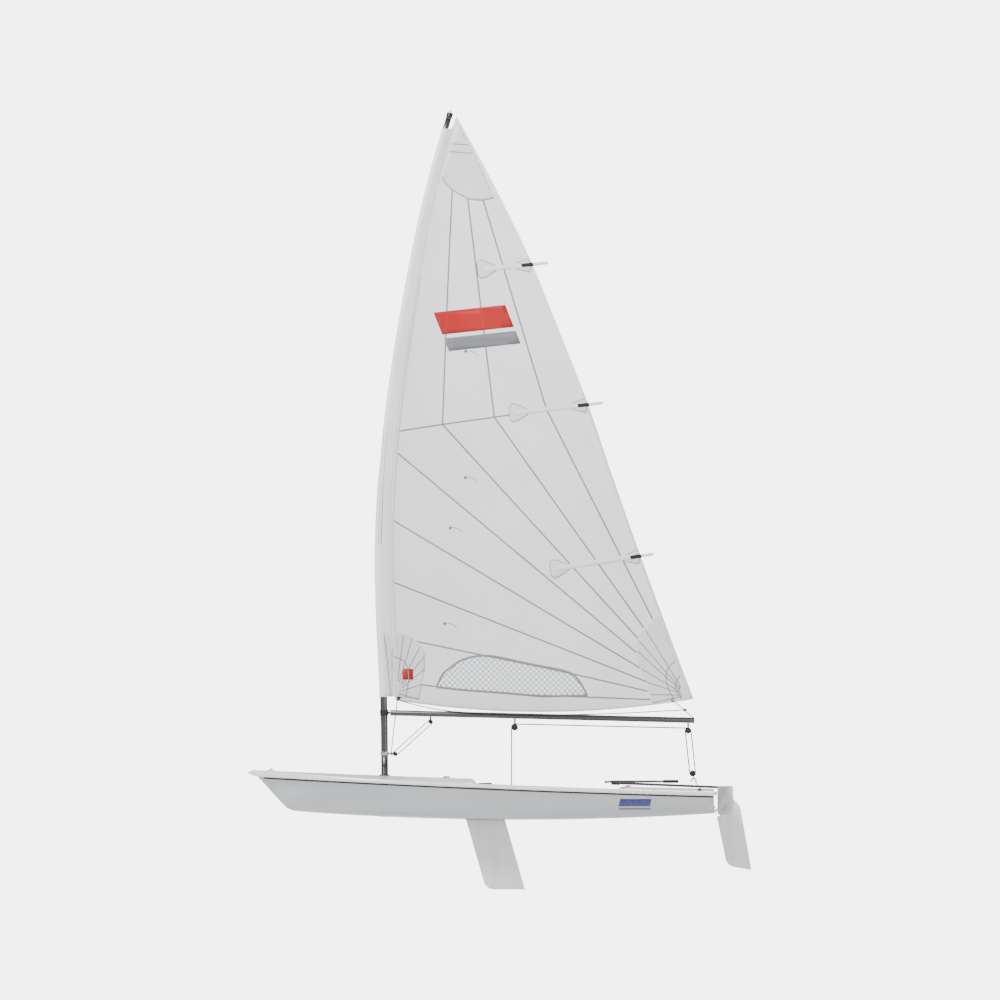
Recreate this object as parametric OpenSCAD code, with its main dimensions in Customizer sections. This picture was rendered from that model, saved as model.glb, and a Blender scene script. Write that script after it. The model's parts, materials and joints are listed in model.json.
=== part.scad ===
// Sailing dinghy, one person, una rig with a sleeved sail.
// +X is forward, +Y is port, +Z is up. The origin is on the centreline, amidships,
// at the plane the hull floats on. Millimetres.

/* [Hull] */
// Length from the bow tip to the transom
hull_len = 4230; // [3800:10:4800]
// Widest beam over the gunwales
beam = 1380; // [1200:10:1600]
// Width over the gunwales at the transom
transom_beam = 1080; // [950:10:1200]
// Depth of the keel below the waterline
draft = 70; // [60:1:95]
// Height of the deck joint above the waterline amidships
sheer_mid = 219; // [190:1:250]
// Overhang of the gunwale outside the hull side
gunwale_lip = 28; // [20:1:36]
// Thickness of the side deck above the joint
deck_rim = 30; // [24:1:36]

/* [Cockpit] */
// Length of the cockpit well
well_len = 975; // [850:5:1000]
// Width of the cockpit well
well_w = 500; // [420:5:560]
// Corner radius of the well in plan
well_r = 70; // [50:5:90]
// Height of the cockpit sole above the waterline
sole_z = 29; // [20:1:45]
// Thickness of the tub wall
tub_wall = 4; // [3:0.5:6]

/* [Foils] */
// Fore and aft width of the daggerboard
board_chord = 354; // [300:1:380]
// Thickness of the daggerboard
board_t = 22; // [18:1:26]
// Depth of the daggerboard tip below the waterline
board_tip = 703; // [600:1:800]
// Clearance round the daggerboard in its case
board_clear = 7; // [6:0.5:9]
// Wall of the daggerboard case
case_wall = 5; // [4:0.5:7]
// Depth of the rudder tip below the waterline
rudder_tip = 522; // [420:1:600]
// Thickness of the rudder blade
blade_t = 20; // [16:1:24]
// Diameter of the rudder pivot bolt
bolt_d = 10; // [8:0.5:12]
// Diameter of the pintle pins
pintle_d = 8; // [7:0.5:10]

/* [Tiller] */
// Distance of the tiller end forward of the transom
tiller_reach = 930; // [800:5:1000]
// Diameter of the tiller tube
tiller_d = 23; // [20:1:28]
// Length of the tiller extension
ext_len = 820; // [650:10:900]
// Diameter of the extension tube
ext_d = 20; // [16:1:24]
// Angle of the folded extension off the tiller
ext_fold = 38; // [34:1:46]

/* [Rig] */
// Diameter of the lower mast
lower_d = 64; // [56:1:68]
// Diameter of the upper mast
upper_d = 51; // [44:1:54]
// Diameter of the boom
boom_d = 51; // [46:1:56]
// Length of the boom
boom_len = 2745; // [2550:5:2800]
// Radial clearance of the mast in its step
step_clear = 0.4; // [0.3:0.1:0.8]
// Clearance between the mast and the sail sleeve
sleeve_clear = 1.8; // [1.6:0.1:6]
// Thickness of the sail solid
cloth_t = 2.4; // [2:0.1:3]
// Depth of the sail's curve as a share of its width
sail_draft = 0.06; // [0.04:0.005:0.08]
// Width of a batten
batten_w = 44; // [36:1:50]

/* [Hidden] */
$fn = 48;
seat = 0.3;         // gap between pieces that are bonded or bolted face to face
far = 4000;         // reach of a cutting shape
half_len = hull_len / 2;
transom_x = -half_len;
bow_x = half_len;

// Hull form: stations along X, round bilge aft, fine entry at the stem.
widest_x = -350;            // station of the widest beam
plan_power = 2.3;           // fullness of the waterlines forward
nose_power = 0.85;          // bluntness of the bow in plan
stem_top_x = bow_x - 92;    // stem meets the deck joint here
stem_foot_x = bow_x - 369;  // stem meets the keel here
stem_foot_z = 14;
keel_low_x = -355;          // lowest point of the keel
rocker = 0.0000185;         // keel rise for each square millimetre along
knuckle_r = 26;             // rounding between keel and stem
sheer_rise = 90;
sheer_curve = 18;
hull_steps = 26;
girth_steps = 9;
nose_drop = 30;             // the gunwale's underside rises this much at the nose

// Deck crown: raised foredeck, lower side decks by the well, raised aft deck.
fore_step = [31, 80];       // foot and top of the step behind the foredeck
aft_step = [-1276, -1243];
foredeck_z = 304;
middeck_z = 258;
aftdeck_z = 231;
foredeck_slope = 0.030;
foredeck_curve = 0.0000045;
middeck_slope = 0.0377;
aftdeck_slope = 0.0238;

function lerp(a, b, t) = a + (b - a) * t;
function clamp(v, lo = 0, hi = 1) = min(max(v, lo), hi);
function fore(x, nose) = clamp((x - widest_x) / (nose - widest_x));
function aft(x) = clamp((widest_x - x) / (widest_x - transom_x));
function plan_form(x, nose, half, half_transom) =
  x > widest_x ? half * pow(1 - pow(fore(x, nose), plan_power), nose_power)
  : half - (half - half_transom) * pow(aft(x), 2);
function rail_y(x) = plan_form(x, bow_x, beam / 2, transom_beam / 2);
function side_y(x) =
  plan_form(x, stem_top_x, beam / 2 - gunwale_lip, transom_beam / 2 - gunwale_lip);
function sheer_z(x) =
  let(s = x / half_len) sheer_mid + sheer_rise * s + sheer_curve * s * s;
function rim_z(x) = sheer_z(x) + deck_rim + deck_rim * pow(max(0, x / half_len), 2);
function soft_max(a, b, r) = (a + b + sqrt((a - b) * (a - b) + r * r)) / 2;
stem_slope = (sheer_z(stem_top_x) - stem_foot_z) / (stem_top_x - stem_foot_x);
function keel_z(x) = min(sheer_z(x) - 2, soft_max(
  -draft + rocker * pow(x - keel_low_x, 2),
  stem_foot_z + (x - stem_foot_x) * stem_slope, knuckle_r));
function crown_z(x) =
  let(f = foredeck_z + foredeck_slope * (x - fore_step[1])
      + foredeck_curve * pow(x - fore_step[1], 2),
    m = middeck_z + middeck_slope * (x - fore_step[0]),
    a = aftdeck_z + aftdeck_slope * (x - aft_step[0]))
  x >= fore_step[1] ? f : x > fore_step[0]
    ? lerp(m, f, (x - fore_step[0]) / (fore_step[1] - fore_step[0]))
  : x >= aft_step[1] ? m : x > aft_step[0]
    ? lerp(a, m, (x - aft_step[0]) / (aft_step[1] - aft_step[0])) : a;

// Closed skin over rings of equal count, each turning clockwise seen from the last ring.
// A strip's end is closed edge to edge, because a bent sheet's end isn't flat.
module skin(rings, strip = false) {
  n = len(rings[0]);
  last = (len(rings) - 1) * n;
  sides = [for (i = [0:len(rings) - 2], j = [0:n - 1], half = [0, 1])
    let(a = i * n + j, b = i * n + (j + 1) % n, c = a + n, d = b + n)
    half == 0 ? [a, d, c] : [a, b, d]];
  ends = strip
    ? [for (j = [0:n / 2 - 2], half = [0:3]) let(a = j, b = j + 1, c = n - 2 - j, d = n - 1 - j)
      half == 0 ? [a, c, b] : half == 1 ? [a, d, c]
        : half == 2 ? [last + a, last + b, last + c] : [last + a, last + c, last + d]]
    : [[for (j = [n - 1:-1:0]) j], [for (j = [0:n - 1]) last + j]];
  polyhedron([for (r = rings) each r], concat(sides, ends), 4);
}

// Open tube between an outer and an inner skin, with flat annular ends.
module sleeve_skin(outer, inner) {
  n = len(outer[0]);
  m = len(outer);
  k = m * n;
  walls = [for (i = [0:m - 2], j = [0:n - 1], half = [0:3])
    let(a = i * n + j, b = i * n + (j + 1) % n, c = a + n, d = b + n)
    half == 0 ? [a, d, c] : half == 1 ? [a, b, d]
      : half == 2 ? [k + a, k + c, k + d] : [k + a, k + d, k + b]];
  ends = [for (j = [0:n - 1], half = [0:3])
    let(j2 = (j + 1) % n, t = (m - 1) * n)
    half == 0 ? [j, k + j2, j2] : half == 1 ? [j, k + j, k + j2]
      : half == 2 ? [t + j2, k + t + j, t + j] : [t + j2, k + t + j2, k + t + j]];
  polyhedron(concat([for (r = outer) each r], [for (r = inner) each r]),
    concat(walls, ends), 6);
}

// Smooth curve through a list of points, for t from 0 to 1.
function weave(p, q, r, s, u) = 0.5 * (2 * q + (r - p) * u
  + (2 * p - 5 * q + 4 * r - s) * u * u + (3 * q - p - 3 * r + s) * u * u * u);
function curve(pts, t) =
  let(n = len(pts) - 1, k = clamp(t) * n, i = min(floor(k), n - 1))
  weave(pts[max(i - 1, 0)], pts[i], pts[i + 1], pts[min(i + 2, n)], k - i);

// Mast: straight in the step, then bent by the sail's tension.
mast_x = 872;               // centre of the mast at the deck
step_foot_z = -34;          // underside of the mast
mast_root_z = 400;          // the bend starts here
mast_top_z = 6294;
splice_z = 2830;            // lower tube ends, upper tube goes on
mast_line = [[mast_x, mast_root_z], [mast_x + 9, 1043], [mast_x + 47, 1923],
  [mast_x + 45, 2648], [mast_x - 12, 3437], [mast_x - 100, 4100], [mast_x - 225, 4834],
  [mast_x - 363, 5500], [mast_x - 480, 5950], [mast_x - 581, mast_top_z]];
function mast_at(t) = curve(mast_line, t);
function mast_t(z, lo = 0, hi = 1, n = 24) = n == 0 ? (lo + hi) / 2
  : mast_at((lo + hi) / 2)[1] < z ? mast_t(z, (lo + hi) / 2, hi, n - 1)
  : mast_t(z, lo, (lo + hi) / 2, n - 1);
function mast_cx(z) = mast_at(mast_t(z))[0];

// Sail plan: sleeve from the tack to the head, leech from the clew to the head.
tack_z = 1012;
sleeve_foot_z = 1045;
sleeve_top_z = 6198;
sleeve_wall = 2.5;
luff_seat = 1.4;            // keeps the sail's edge off the sleeve's facets
clew = [-1931, 1025];
leech_line = [clew, [-1668, 1725], [-1425, 2391], [-1190, 3060], [-960, 3735],
  [-716, 4355], [-460, 4985], [-225, 5480], [10, 5935], [222, 6312]];
head_z = 6212;
foot_round = 112;
sail_rows = 28;
sail_cols = 20;
function sleeve_back(t) = 88 + 22 * pow(1 - t, 6) - 30 * pow(t, 4);
function luff_at(t) = let(z = lerp(tack_z, head_z, t), x = mast_cx(z))
  [x - sleeve_back(t) - luff_seat, z];
function chord_shape(v) = sin(180 * pow(v, 0.8));
// Point on the sail, t up the luff, v from luff to leech, lift towards port.
function sail_pt(t, v, lift = 0) =
  let(a = luff_at(t), b = curve(leech_line, t), w = a[0] - b[0])
  [lerp(a[0], b[0], v), lift - sail_draft * w * chord_shape(v) * (1 - 0.3 * t),
   lerp(a[1], b[1], v) - foot_round * 4 * v * (1 - v) * pow(1 - t, 6)];

// Boom and its tackle.
boom_front = [mast_x - 51, 900];
boom_tilt = 1.41;           // degrees, the aft end is lower
function boom_axis(s) =
  [boom_front[0] - s * cos(boom_tilt), boom_front[1] - s * sin(boom_tilt)];
mid_block_s = 1130;
aft_block_s = boom_len - 43;
vang_mast_z = 530;

// Daggerboard and its case, raked so the tip lies aft.
board_rake = 16;
board_top_z = 250;
board_mid_x = 49;           // centre of the chord at the board's top
slot_top = 420;
slot_foot = -200;
board_corner_r = 70;
function board_x(z) = board_mid_x + (z - board_top_z) * tan(board_rake);

// Well and its sole.
well_front = -250;
well_back = well_front - well_len;

// Rudder on its pintles.
pintle_x = transom_x - 16;
head_front_x = pintle_x - 15;
head_top_z = 236;
head_back_x = transom_x - 175;
head_foot_z = -20;
cheek_t = 5;
cheek_gap = blade_t + 2 * 5;
bolt_x = transom_x - 97;
bolt_z = 62;
gudgeon_zs = [168, 12];
tiller_front_x = transom_x + tiller_reach;
tiller_root = [head_back_x + 12, 220];
tiller_tip = [tiller_front_x, 265];
tiller_tilt = atan2(tiller_tip[1] - tiller_root[1], tiller_tip[0] - tiller_root[0]);
joint_x = tiller_front_x + 52;
joint_z = tiller_tip[1] + 2;
swivel_r = 13;

// Flat plate standing in the XZ plane, t thick and centred on y.
module upright(t, y = 0) {
  translate([0, y + t / 2, 0]) rotate([90, 0, 0]) linear_extrude(t) children();
}
// Round bar along Y.
module cross_bar(d, l, x, z, y = 0) {
  translate([x, y + l / 2, z]) rotate([90, 0, 0]) cylinder(d = d, h = l);
}
module boom_frame(s) {
  p = boom_axis(s);
  translate([p[0], 0, p[1]]) rotate([0, -90 - boom_tilt, 0]) children();
}
// Plan of a rounded rectangle from exact arcs.
module round_rect(l, w, r) {
  square([l - 2 * r, w], center = true);
  square([l, w - 2 * r], center = true);
  for (sx = [-1, 1], sy = [-1, 1]) translate([sx * (l / 2 - r), sy * (w / 2 - r)]) circle(r);
}
function deck_z(x, y) = rim_z(x) + (crown_z(x) - rim_z(x)) * (1 - pow(y / rail_y(x), 2));

// ---- Hull body ----
function hull_ring(x) =
  let(f = pow(fore(x, stem_top_x), 2), k = lerp(2.3, 1.15, f), q = lerp(1.3, 1.05, f),
    w = max(side_y(x), 3), top = sheer_z(x), d = top - keel_z(x),
    side = [for (i = [girth_steps:-1:0]) let(a = 90 * i / girth_steps)
      [w * pow(sin(a), 2 / k), top - d * pow(cos(a), 2 / q)]])
  concat([for (p = side) [x, p[0], p[1]]],
    [for (i = [girth_steps - 1:-1:0]) [x, -side[i][0], side[i][1]]]);
hull_xs = concat([for (i = [0:hull_steps]) lerp(transom_x, bow_x - 465, i / hull_steps)],
  [for (d = [415, 355, 295, 235, 175, 125]) bow_x - d], [stem_top_x]);

function nose_f(x) = clamp((x - stem_top_x) / (bow_x - stem_top_x));
deck_crown_steps = 6;
function deck_ring(x) =
  let(w = max(rail_y(x), 9), low = sheer_z(x) + seat + nose_drop * pow(nose_f(x), 2),
    in_y = max(min(side_y(x), w - 4), 2), drop = 26 * pow(nose_f(x), 3),
    rim = rim_z(x) - drop, top = crown_z(x) - drop, r = min(12, w / 3),
    half = concat([[in_y, low], [w - r / 4, low + 1], [w, low + (rim - low) * 0.4],
      [w - r / 3, rim - (rim - low) * 0.2], [w - r, rim]],
      [for (i = [deck_crown_steps - 1:-1:0]) let(y = (w - r) * i / deck_crown_steps)
        [y, rim + (top - rim) * (1 - pow(y / (w - r), 2))]]),
    n = len(half))
  concat([for (i = [n - 1:-1:0]) [x, half[i][0], half[i][1]]],
    [for (i = [0:n - 2]) [x, -half[i][0], half[i][1]]]);
deck_xs = concat([for (i = [0:4]) lerp(transom_x, aft_step[0], i / 4)],
  [for (i = [0:6]) lerp(aft_step[1], fore_step[0], i / 6)],
  [for (i = [0:9]) lerp(fore_step[1], bow_x - 465, i / 9)],
  [for (d = [365, 265, 175, 115]) bow_x - d], [stem_top_x],
  [for (d = [60, 35, 15, 0]) bow_x - d]);

module slot_prism(grow, low, high) {
  w = board_t + 2 * (board_clear + grow);
  reach = board_chord / 2 + board_clear + grow;
  upright(w) polygon([[board_x(low) - reach, low], [board_x(low) + reach, low],
    [board_x(high) + reach, high], [board_x(high) - reach, high]]);
}
module well_plan(grow) {
  translate([(well_front + well_back) / 2, 0])
    round_rect(well_len + 2 * grow, well_w + 2 * grow, well_r + grow);
}
step_r = lower_d / 2 + step_clear;
cup_wall = 9;
step_top_z = deck_z(mast_x, 0) + 6;
bailer_x = well_back + 90;
bailer_d = 36;

module hull() color("gainsboro") difference() {
  skin([for (x = hull_xs) hull_ring(x)]);
  translate([0, 0, sole_z - tub_wall - seat]) linear_extrude(far) well_plan(tub_wall + seat);
  slot_prism(case_wall + seat, slot_foot, slot_top);
  translate([mast_x, 0, step_foot_z - cup_wall - seat]) cylinder(r = step_r + cup_wall + seat, h = far);
  translate([bailer_x, 0, -far]) cylinder(d = bailer_d + 2 * seat, h = 2 * far);
}
module deck() color("white") difference() {
  skin([for (x = deck_xs) deck_ring(x)]);
  linear_extrude(far) well_plan(0);
  slot_prism(0, slot_foot, slot_top);
  translate([mast_x, 0, 0]) cylinder(r = step_r + cup_wall + seat, h = far);
}
tub_drop = 2;               // keeps the tub's rim under the curved joint
module cockpit_tub() color("whitesmoke") difference() {
  intersection() {
    translate([0, 0, sole_z - tub_wall]) linear_extrude(far) well_plan(tub_wall);
    upright(far) polygon([[well_front + 50, -far], [well_back - 50, -far],
      [well_back - 50, sheer_z(well_back - 50) - tub_drop],
      [well_front + 50, sheer_z(well_front + 50) - tub_drop]]);
  }
  translate([0, 0, sole_z]) linear_extrude(far) well_plan(0);
  translate([bailer_x, 0, 0]) cylinder(d = bailer_d + 2 * seat, h = far, center = true);
}
module mast_step() color("dimgray") translate([mast_x, 0, 0]) difference() {
  union() {
    translate([0, 0, step_foot_z - cup_wall])
      cylinder(r = step_r + cup_wall, h = step_top_z - step_foot_z + cup_wall);
    translate([0, 0, step_top_z - 4]) cylinder(r = step_r + cup_wall + 12, h = 6);
  }
  translate([0, 0, step_foot_z - 0.5]) cylinder(r = step_r, h = far);
}
case_foot_z = -68;
module daggerboard_case() color("silver") difference() {
  slot_prism(case_wall, case_foot_z, sheer_z(board_mid_x - board_chord) - 4);
  slot_prism(0, slot_foot, slot_top);
}
// Folded eye on a base plate, its bore along Y.
eye_bore = 10;
module deck_eye(x, y, l, w, lift) {
  z = deck_z(x, y) + seat;
  difference() {
    union() {
      translate([x - l / 2, y - w / 2, z - 3]) cube([l, w, 6]);
      cross_bar(eye_bore + 12, w / 2, x, z + lift, y);
      translate([x - eye_bore / 2 - 6, y - w / 4, z]) cube([eye_bore + 12, w / 2, lift]);
    }
    cross_bar(eye_bore, w + 2, x, z + lift, y);
  }
}
eye_x = bow_x - 212;
eye_lift = 11;
module bow_eye() color("#222222") translate([0, 0, 4.9]) deck_eye(eye_x, 0, 72, 20, eye_lift);
fairlead_x = transom_x + 130;
fairlead_y = transom_beam * 0.4;
fairlead_lift = 21;
module traveller_fairleads() color("#222222") for (sy = [-1, 1])
  translate([0, 0, 4]) deck_eye(fairlead_x, sy * fairlead_y, 46, 22, fairlead_lift);
cleat_x = 311;
cleat_y = 96;
// Jammer with two jaws on a plate.
module jam_cleat(x, y, l, rise) {
  z = deck_z(x, y) + rise;
  translate([x - l / 2, y - 17, z]) cube([l, 34, 4]);
  for (sy = [-1, 1]) translate([x - l * 0.35, y + sy * 11 - 4, z + 4]) cube([l * 0.7, 8, 9]);
}
module control_cleats() color("#222222") for (sy = [-1, 1]) jam_cleat(cleat_x, sy * cleat_y, 78, 2);
module traveller_cleat() color("#222222") jam_cleat(aft_step[0] - 60, -110, 60, 1.2);

// Pulley block: cheeks, sheave and axle, its axle along Y.
module block(x, z, r, w, y = 0) {
  for (sy = [-1, 1]) cross_bar(2 * r, 3, x, z, y + sy * (w / 2 - 1.5));
  cross_bar(1.7 * r, w - 4, x, z, y);
  cross_bar(r * 0.5, w + 3, x, z, y);
}
ratchet_r = 29;
ratchet_x = -307;
ratchet_z = sole_z + 62;
module ratchet_block() color("#222222") {
  block(ratchet_x, ratchet_z, ratchet_r, 26);
  translate([ratchet_x, 0, sole_z + seat]) cylinder(r = 24, h = 10);
  translate([ratchet_x, 0, sole_z + seat]) cylinder(r = 9, h = ratchet_z - sole_z - ratchet_r + 8);
}
traveller_x = transom_x + 184;
loop_z = 283;
sheet_block_z = 354;
sheet_block_r = 24;
line_d = 6;
module traveller_block() color("#222222") {
  block(traveller_x + 10, sheet_block_z, sheet_block_r, 18);
  translate([traveller_x, 0, loop_z + 22]) cylinder(r = 5, h = sheet_block_z - loop_z - 30);
  difference() {
    cross_bar(56, 14, traveller_x, loop_z);
    cross_bar(36, 20, traveller_x, loop_z);
    translate([traveller_x - far / 2, -far / 2, loop_z - 11 - far]) cube(far);
  }
  cross_bar(9, 14, traveller_x - 22, loop_z - 8);
  cross_bar(9, 14, traveller_x + 22, loop_z - 8);
}
line_rise_z = loop_z + 18 - line_d / 2 - seat;
fairlead_eye_z = deck_z(fairlead_x, fairlead_y) + 4 + fairlead_lift + (eye_bore - line_d) / 2;
module traveller_line() color("#1a1a1a") skin([for (p = [
    [fairlead_x, fairlead_y + 14, fairlead_eye_z], [fairlead_x, fairlead_y - 14, fairlead_eye_z],
    [traveller_x, 10, line_rise_z], [traveller_x, -10, line_rise_z],
    [fairlead_x, 14 - fairlead_y, fairlead_eye_z], [fairlead_x, -14 - fairlead_y, fairlead_eye_z]])
  [for (i = [0:7]) p + line_d / 2 * [cos(45 * i), 0, -sin(45 * i)]]]);
strap_t = 3;
strap_w = 50;
strap_line = [[-372, 0], [-440, 0], [-520, 62], [-840, 72], [-1150, 78]];
module hiking_strap() color("#2b2b2b") upright(strap_w) {
  z = sole_z + seat;
  end = [well_back + seat, 96];
  line = concat(strap_line, [end]);
  polygon(concat([for (p = line) [p[0], p[1] + z]],
    [for (i = [len(line) - 1:-1:0]) [line[i][0], line[i][1] + z + strap_t]]));
}
rail_len = 420;
rail_d = 16;
rail_x = (well_front + well_back) / 2;
rail_z = 140;
rail_stand = 30;
module grab_rails() color("#333333") for (sy = [-1, 1]) {
  translate([rail_x - rail_len / 2, sy * (well_w / 2 - rail_stand), rail_z])
    rotate([0, 90, 0]) cylinder(d = rail_d, h = rail_len);
  for (e = [-1, 1]) {
    l = rail_stand - seat;
    cross_bar(rail_d, l, rail_x + e * (rail_len / 2 - rail_d), rail_z,
      sy * (well_w / 2 - rail_stand + l / 2));
  }
}
module drain_plug() color("#222222") translate([transom_x - seat, -150, 42]) rotate([0, -90, 0]) {
  cylinder(d = 36, h = 3);
  cylinder(d = 22, h = 9);
}
module self_bailer() color("silver") {
  translate([bailer_x, 0, sole_z + seat]) cylinder(d = 56, h = 3);
  translate([bailer_x, 0, keel_z(bailer_x) + 4])
    cylinder(d = bailer_d, h = sole_z - keel_z(bailer_x) - 2);
}
module gudgeons() color("silver") for (z = gudgeon_zs) difference() {
  union() {
    translate([transom_x - seat - 3, -22, z - 25]) cube([3, 44, 50]);
    translate([pintle_x, 0, z - 9]) cylinder(d = pintle_d + 12, h = 18);
    translate([pintle_x, -4, z - 9]) cube([transom_x - pintle_x - seat, 8, 18]);
  }
  translate([pintle_x, 0, z - 10]) cylinder(d = pintle_d + 0.6, h = 20);
}

// ---- Rudder ----
spine_t = 14;
head_w = cheek_gap + 2 * cheek_t;
module head_side() polygon([[head_front_x, head_foot_z], [head_front_x, head_top_z],
  [head_back_x, head_top_z], [head_back_x, 127], [head_back_x + 18, head_foot_z + 30],
  [head_back_x + 34, head_foot_z]]);
module tiller_pose() {
  translate([tiller_root[0], 0, tiller_root[1]]) rotate([0, 90 - tiller_tilt, 0]) children();
}
module rudder_head() color("silver") difference() {
  union() {
    for (sy = [-1, 1]) upright(cheek_t, sy * (cheek_gap + cheek_t) / 2) head_side();
    translate([head_front_x - spine_t, -cheek_gap / 2 - 1, head_foot_z])
      cube([spine_t, cheek_gap + 2, head_top_z - head_foot_z]);
    translate([head_back_x, -cheek_gap / 2 - 1, head_top_z - 31])
      cube([head_front_x - head_back_x, cheek_gap + 2, 31]);
  }
  tiller_pose() translate([0, 0, -30]) cylinder(d = tiller_d + 0.6, h = far);
  cross_bar(bolt_d + 0.4, head_w + 2, bolt_x, bolt_z);
}
module pintles() color("silver") for (z = gudgeon_zs) {
  translate([pintle_x, 0, z - 22]) cylinder(d = pintle_d, h = 36);
  translate([head_front_x + seat, -9, z + 9.5]) cube([pintle_x - head_front_x + 7, 18, 5]);
  translate([head_front_x + seat, -15, z + 4]) cube([3, 30, 20]);
}
sleeve_len = 74;
sleeve_d = 38;
tongue_t = 8;
tiller_len = (tiller_front_x - tiller_root[0]) / cos(tiller_tilt);
tongue_w = 24;
tongue_root = 20;           // length of the tongue inside the tiller's end
module tiller() color("#2a2a2a") {
  tiller_pose() {
    cylinder(d = tiller_d, h = tiller_len);
    translate([0, 0, tiller_len - sleeve_len]) cylinder(d = sleeve_d, h = sleeve_len);
  }
  translate([tiller_front_x - tongue_root, -tongue_w / 2, joint_z - tongue_t / 2])
    cube([joint_x - tiller_front_x + tongue_root, tongue_w, tongue_t]);
  translate([joint_x, 0, joint_z - tongue_t / 2]) cylinder(d = 24, h = tongue_t);
  translate([joint_x, 0, joint_z - 9]) cylinder(d = 8, h = 26);
}
module pivot_bolt() color("silver") {
  cross_bar(bolt_d, head_w + 2 * seat, bolt_x, bolt_z);
  for (sy = [-1, 1]) cross_bar(bolt_d * 1.8, 6, bolt_x, bolt_z, sy * (head_w / 2 + seat + 3));
}
// Foil section round a vertical chord line, from leading to trailing edge.
foil_us = [0, 0.02, 0.08, 0.2, 0.4, 0.62, 0.84, 1];
function foil_half(u) = sin(180 * pow(clamp(u, 0.004), 0.62)) * (1 - 0.12 * u) + 0.1 * u;
function foil_ring(front, back, z, t) = concat(
  [for (u = foil_us) [lerp(front, back, u), -t / 2 * clamp(foil_half(u), 0.08), z]],
  [for (i = [len(foil_us) - 1:-1:0]) let(u = foil_us[i])
    [lerp(front, back, u), t / 2 * clamp(foil_half(u), 0.08), z]]);
blade_head_r = 46;
// Blade outline: distance aft of the transom at a height over the tip.
blade_top_z = 20;
blade_zs = [0, 12, 24, 38, 60, 87, 200, 320, rudder_tip - 46, rudder_tip - 31, rudder_tip - 30,
  rudder_tip + blade_top_z];
function blade_lead(h) = lookup(h, [[0, 317], [12, 247], [24, 177], [38, 143], [60, 121],
  [87, 107], [rudder_tip - 46, 26], [rudder_tip - 31, 51], [rudder_tip + blade_top_z, 51]]);
blade_trail_foot = 339;
blade_trail_top = 243;
function blade_trail(h) = lerp(blade_trail_foot, blade_trail_top, h / (rudder_tip + blade_top_z));
module rudder_blade() color("white") difference() {
  union() {
    skin([for (h = blade_zs)
      foil_ring(transom_x - blade_lead(h), transom_x - blade_trail(h), h - rudder_tip, blade_t)]);
    cross_bar(2 * blade_head_r, blade_t, bolt_x, bolt_z);
    upright(blade_t) polygon([[transom_x - blade_trail_top + 3, blade_top_z - 1],
      [transom_x - blade_trail_top + 7, 50], [head_back_x - 2, 120],
      [bolt_x - 6, bolt_z + blade_head_r - 1], [bolt_x + blade_head_r - 1, bolt_z],
      [bolt_x + blade_head_r - 2, blade_top_z - 1]]);
  }
  cross_bar(bolt_d + 1, blade_t + 2, bolt_x, bolt_z);
}
// Tiller extension on its swivel; children stand in the extension's own frame.
yoke_z = tongue_t / 2 + 1;
eye_out = 42;
module swivel_frame() { translate([joint_x, 0, joint_z]) rotate([0, 0, 180 - ext_fold]) children(); }
module universal_joint() color("#222222") swivel_frame() difference() {
  union() {
    translate([0, 0, yoke_z]) cylinder(r = swivel_r, h = 11);
    translate([0, -7.5, yoke_z]) cube([eye_out - 10, 15, 11]);
    for (sy = [-1, 1]) translate([8, sy * 13.5 - 3, yoke_z]) cube([eye_out, 6, 11]);
    translate([8, -16.5, yoke_z]) cube([9, 33, 11]);
    translate([eye_out, 16.5, yoke_z + 5.5]) rotate([90, 0, 0]) cylinder(d = 5, h = 33);
  }
  translate([0, 0, yoke_z - 1]) cylinder(d = 8.6, h = 14);
}
ext_start = eye_out + 14;
grip_len = 150;
module tiller_extension() color("silver") swivel_frame() translate([0, 0, yoke_z + 5.5]) difference() {
  union() {
    translate([ext_start, 0, 0]) rotate([0, 90, 0]) cylinder(d = ext_d, h = ext_len - ext_start);
    translate([eye_out, 7.5, 0]) rotate([90, 0, 0]) cylinder(d = 11, h = 15);
    translate([eye_out, -7.5, -5]) cube([ext_start - eye_out + 2, 15, 10]);
  }
  translate([eye_out, 10, 0]) rotate([90, 0, 0]) cylinder(d = 5.6, h = 20);
}
module extension_grip() color("#222222") swivel_frame() translate([ext_len - grip_len, 0, yoke_z + 5.5])
  rotate([0, 90, 0]) difference() {
    cylinder(d = ext_d + 9, h = grip_len + 8);
    translate([0, 0, -1]) cylinder(d = ext_d + 2 * seat, h = grip_len + 1 + seat);
  }

// ---- Daggerboard ----
function board_inset(h) = h < board_corner_r
  ? board_corner_r - sqrt(pow(board_corner_r, 2) - pow(board_corner_r - h, 2)) : 0;
board_hs = [0, 8, 22, 42, board_corner_r, 250, 500, board_tip + board_top_z];
module daggerboard() color("white") skin([for (h = board_hs) let(z = h - board_tip)
  foil_ring(board_x(z) + board_chord / 2 - board_inset(h), board_x(z) - board_chord / 2, z, board_t)]);
handle_len = 120;
handle_inset = 26;
handle_lip_z = crown_z(board_x(board_top_z) - board_chord / 2 + handle_inset + handle_len) + seat;
module daggerboard_handle() color("#222222")
  translate([board_x(board_top_z) - board_chord / 2 + handle_inset, 0, 0]) {
    translate([0, -board_t / 4, board_top_z + seat])
      cube([handle_len, board_t / 2, handle_lip_z - board_top_z]);
    translate([0, -board_t / 2 - board_clear - 8, handle_lip_z])
      cube([handle_len, board_t + 2 * board_clear + 16, 8]);
  }

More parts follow.
